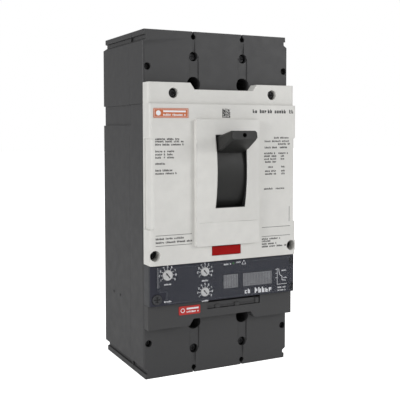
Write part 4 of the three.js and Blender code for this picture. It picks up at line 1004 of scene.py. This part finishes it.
RIB_INSET = 1.1
RIB_HINGE_INSET = 2.2
RIB_NOTCH = (8.6, 11.0)
RIB_WIDTH = 0.5
RIB_RISE = 0.25
GRIP_LINES = 4
GRIP_FOOT = -64.9
GRIP_PACE = 0.9
GRIP_WIDTH = 0.35
GRIP_RISE = 0.4
GRIP_SPAN = (2.6, 0.5)


def clear_cover_details():
    """Border rib and finger lines of the clear cover, moving with it."""
    low, high = node_box("trip_unit_cover")
    front, back = low.y, low.y + INK
    left, right = low.x + RIB_HINGE_INSET, high.x - RIB_INSET
    foot, top = low.z + RIB_INSET, high.z - RIB_INSET
    notch_x, notch_z = low.x + RIB_NOTCH[0], low.z + RIB_NOTCH[1]
    corners = [(left, notch_z), (notch_x, notch_z), (notch_x, foot), (right, foot), (right, top), (left, top)]
    d = Drawing()
    d.path(corners, RIB_WIDTH, (front - RIB_RISE, back), closed=True)
    for step in range(GRIP_LINES):
        z = GRIP_FOOT + GRIP_PACE * step
        d.box((high.x - GRIP_SPAN[0], high.x - GRIP_SPAN[1]), (front - GRIP_RISE, back), (z, z + GRIP_WIDTH))
    d.piece("clear_cover_rib", "clear_edge", "clear_cover", "clear_plastic")


# ---------------------------------------------------------------- the dark mouldings

CAP_SPAN = (-14.6, 36.6)
CAP_DEPTH = (-105.2, -100.4)
CAP_Z = (-89.7, -84.4)
CAP_RIB_DEPTH = (-105.8, -100.4)
CAP_RIB_Z = (-88.6, -88.1)
TAB_PLACES = (-5.0, 14.0)
TAB_LAYERS = ((2.0, (-106.2, -101.5), (-89.7, -86.8)), (1.2, (-106.5, -101.5), (-89.2, -87.6)))
END_TAB_SPAN = (32.5, 35.8)
END_TAB_DEPTH = (-106.2, -101.5)
END_TAB_Z = (-89.4, -84.9)

BARRIER_SLOTS = (-23.7, 23.7)
BARRIER_SLOT_HALF = 0.75
BARRIER_FLOOR_DEPTH = (-94.0, -69.0)
BARRIER_FLOOR_Z = (138.0, 144.6)

LIP_SPAN = (66.2, 68.2)
LIP_DEPTH = (-67.5, -66.8)
LIP_END = 145.2

BOSS_PLACES = (-24.0, -41.0)
BOSS_Z = -85
BOSS_SECTION = ((-69.9, 1.3), (-70.6, 1.0))
BOSS_SIDES = 16


def connector_cover():
    """The cap in the connector socket under the panel: a ribbed plate with three finger tabs."""
    d = Drawing()
    d.box(CAP_SPAN, CAP_DEPTH, CAP_Z)
    d.box(CAP_SPAN, CAP_RIB_DEPTH, CAP_RIB_Z)
    for x in TAB_PLACES:
        for half, depth, span in TAB_LAYERS:
            d.box((x - half, x + half), depth, span)
    d.box(END_TAB_SPAN, END_TAB_DEPTH, END_TAB_Z)
    d.piece("connector_cover", "dark_case", slot="dark_case")


def barrier_slot_floors():
    """Floors that close the narrow slots for phase barriers a little way in; their black is painted shade for
    the depth of the slots.
    """
    d = Drawing()
    for x in BARRIER_SLOTS:
        for end in (-1, 1):
            span = sorted(end * z for z in BARRIER_FLOOR_Z)
            d.box((x - BARRIER_SLOT_HALF, x + BARRIER_SLOT_HALF), BARRIER_FLOOR_DEPTH, span)
    d.piece("barrier_slot_floors", "print_black", slot="dark_case")


def seam_lips():
    """The thin tongues inside the side walls that close the seam between the rear base and the mid cover."""
    d = Drawing()
    for side in (-1, 1):
        d.box(sorted(side * x for x in LIP_SPAN), LIP_DEPTH, (-LIP_END, LIP_END))
    d.piece("seam_lips", "dark_case", slot="dark_case")


def side_bosses():
    """Two small round bosses on the left wall, each tapering outwards."""
    d = Drawing()
    turns = [2 * math.pi * index / BOSS_SIDES for index in range(BOSS_SIDES)]
    for y in BOSS_PLACES:
        rings = []
        for x, radius in BOSS_SECTION:
            places = [(x, y + radius * math.cos(turn), BOSS_Z + radius * math.sin(turn)) for turn in turns]
            rings.append([d.bm.verts.new(place) for place in places])
            d.bm.faces.new(rings[-1])
        d.band(*rings)
    d.piece("side_bosses", "dark_case", slot="dark_case")


# ---------------------------------------------------------------- stage

FLOOR_SIZE = 12


def add_floor():
    bpy.ops.mesh.primitive_plane_add(size=FLOOR_SIZE, location=(0, 0, FLOOR_Z))
    floor = bpy.context.object
    floor.name = "studio_floor"
    floor.data.materials.append(studio_white("studio_floor_white"))


def add_softbox(name, place, target, size, power):
    data = bpy.data.lights.new(name, "AREA")
    data.shape = "DISK"
    data.size = size
    data.energy = power
    lamp = bpy.data.objects.new(name, data)
    bpy.context.scene.collection.objects.link(lamp)
    lamp.location = place
    lamp.rotation_euler = (Vector(target) - Vector(place)).to_track_quat("-Z", "Y").to_euler()


WORLD_STRENGTH = 0.37


def add_world():
    """Soft light from all around, while the camera sees plain white."""
    world = bpy.data.worlds.new("studio")
    bpy.context.scene.world = world
    world.use_nodes = True
    tree = world.node_tree
    soft = tree.nodes["Background"]
    soft.inputs["Color"].default_value = (1, 1, 1, 1)
    soft.inputs["Strength"].default_value = WORLD_STRENGTH
    white = tree.nodes.new("ShaderNodeBackground")
    white.inputs["Color"].default_value = (1, 1, 1, 1)
    seen = tree.nodes.new("ShaderNodeLightPath").outputs["Is Camera Ray"]
    choose = tree.nodes.new("ShaderNodeMixShader")
    tree.links.new(seen, choose.inputs[0])
    tree.links.new(soft.outputs[0], choose.inputs[1])
    tree.links.new(white.outputs[0], choose.inputs[2])
    tree.links.new(choose.outputs[0], tree.nodes["World Output"].inputs["Surface"])


CAMERA_PLACE = (-0.2954, -0.6713, 0.0643)
CAMERA_DOWN = 3.18
CAMERA_TURN = -27.15
LENS = 67.14
SENSOR_WIDTH = 36
CAMERA_SHIFT = (-0.0425, -0.075)


def add_camera():
    data = bpy.data.cameras.new("camera")
    data.lens = LENS
    data.sensor_width = SENSOR_WIDTH
    data.shift_x, data.shift_y = CAMERA_SHIFT
    camera = bpy.data.objects.new("camera", data)
    bpy.context.scene.collection.objects.link(camera)
    camera.location = CAMERA_PLACE
    camera.rotation_euler = (math.radians(90 - CAMERA_DOWN), 0, math.radians(CAMERA_TURN))
    bpy.context.scene.camera = camera


BODY_MIDDLE = (0, -0.05, 0)
OUTER_EDGES = {
    "rear_base": 0.5, "mid_cover": 0.5, "front_cover": 0.5, "trip_unit_housing": 0.3, "trip_unit_panel": 0.2,
    "handle": 0.4, "trip_button": 0.3, "display_window_left": 0.15, "display_window_right": 0.15,
    "rating_label": 0.05, "caution_label": 0.05,
}
POLE_EDGES = {
    "line_conductor_": 0.35, "load_conductor_": 0.35, "contact_arm_": 0.3, "arc_chute_": 0.15,
    "current_transformer_": 0.5,
}
MECHANISM_EDGES = {
    "handle_yoke": 0.15, "cradle": 0.15, "upper_link": 0.15, "lower_link": 0.15, "crossbar": 0.4,
    "trip_bar": 0.3, "trip_actuator": 0.4, "mechanism_plate_left": 0.15, "mechanism_plate_right": 0.15,
    "trip_unit_board": 0.1,
}


def round_off_nodes():
    """Puts a shell with rounded edges, of a radius in millimetres, in place of the moulded and cut nodes."""
    for node, edge in OUTER_EDGES.items():
        rounded_shell(node, edge * MM)
    for pole in ("left", "centre", "right"):
        for part, edge in POLE_EDGES.items():
            rounded_shell(part + pole, edge * MM)
    for node, edge in MECHANISM_EDGES.items():
        rounded_shell(node, edge * MM)


def add_details():
    cover_print_left()
    cover_print_right()
    cover_heading()
    code_mark()
    orange_label_print()
    red_label_print()
    handle_slot_liner()
    for node in frame["nodes"]:
        if "_screw_" in node:
            screw(node)
    for node, body, _ in DIALS:
        dial_knob(node, body)
        dial_arrow(node, body)
    dial_scales()
    panel_print()
    window_bezels()
    window_bars()
    status_lamp()
    test_port_collar()
    test_port_hole_shade()
    panel_pockets()
    clear_cover_details()
    connector_cover()
    barrier_slot_floors()
    seam_lips()
    side_bosses()


add_camera()
add_world()
add_floor()
add_softbox("left_light", (-1.9, -0.6, 0.5), BODY_MIDDLE, 0.9, 17)
add_softbox("right_light", (1.2, -1.4, 0.5), BODY_MIDDLE, 0.8, 11)
bpy.context.scene.view_settings.view_transform = "Standard"
finish_cad_nodes()
round_off_nodes()
add_details()
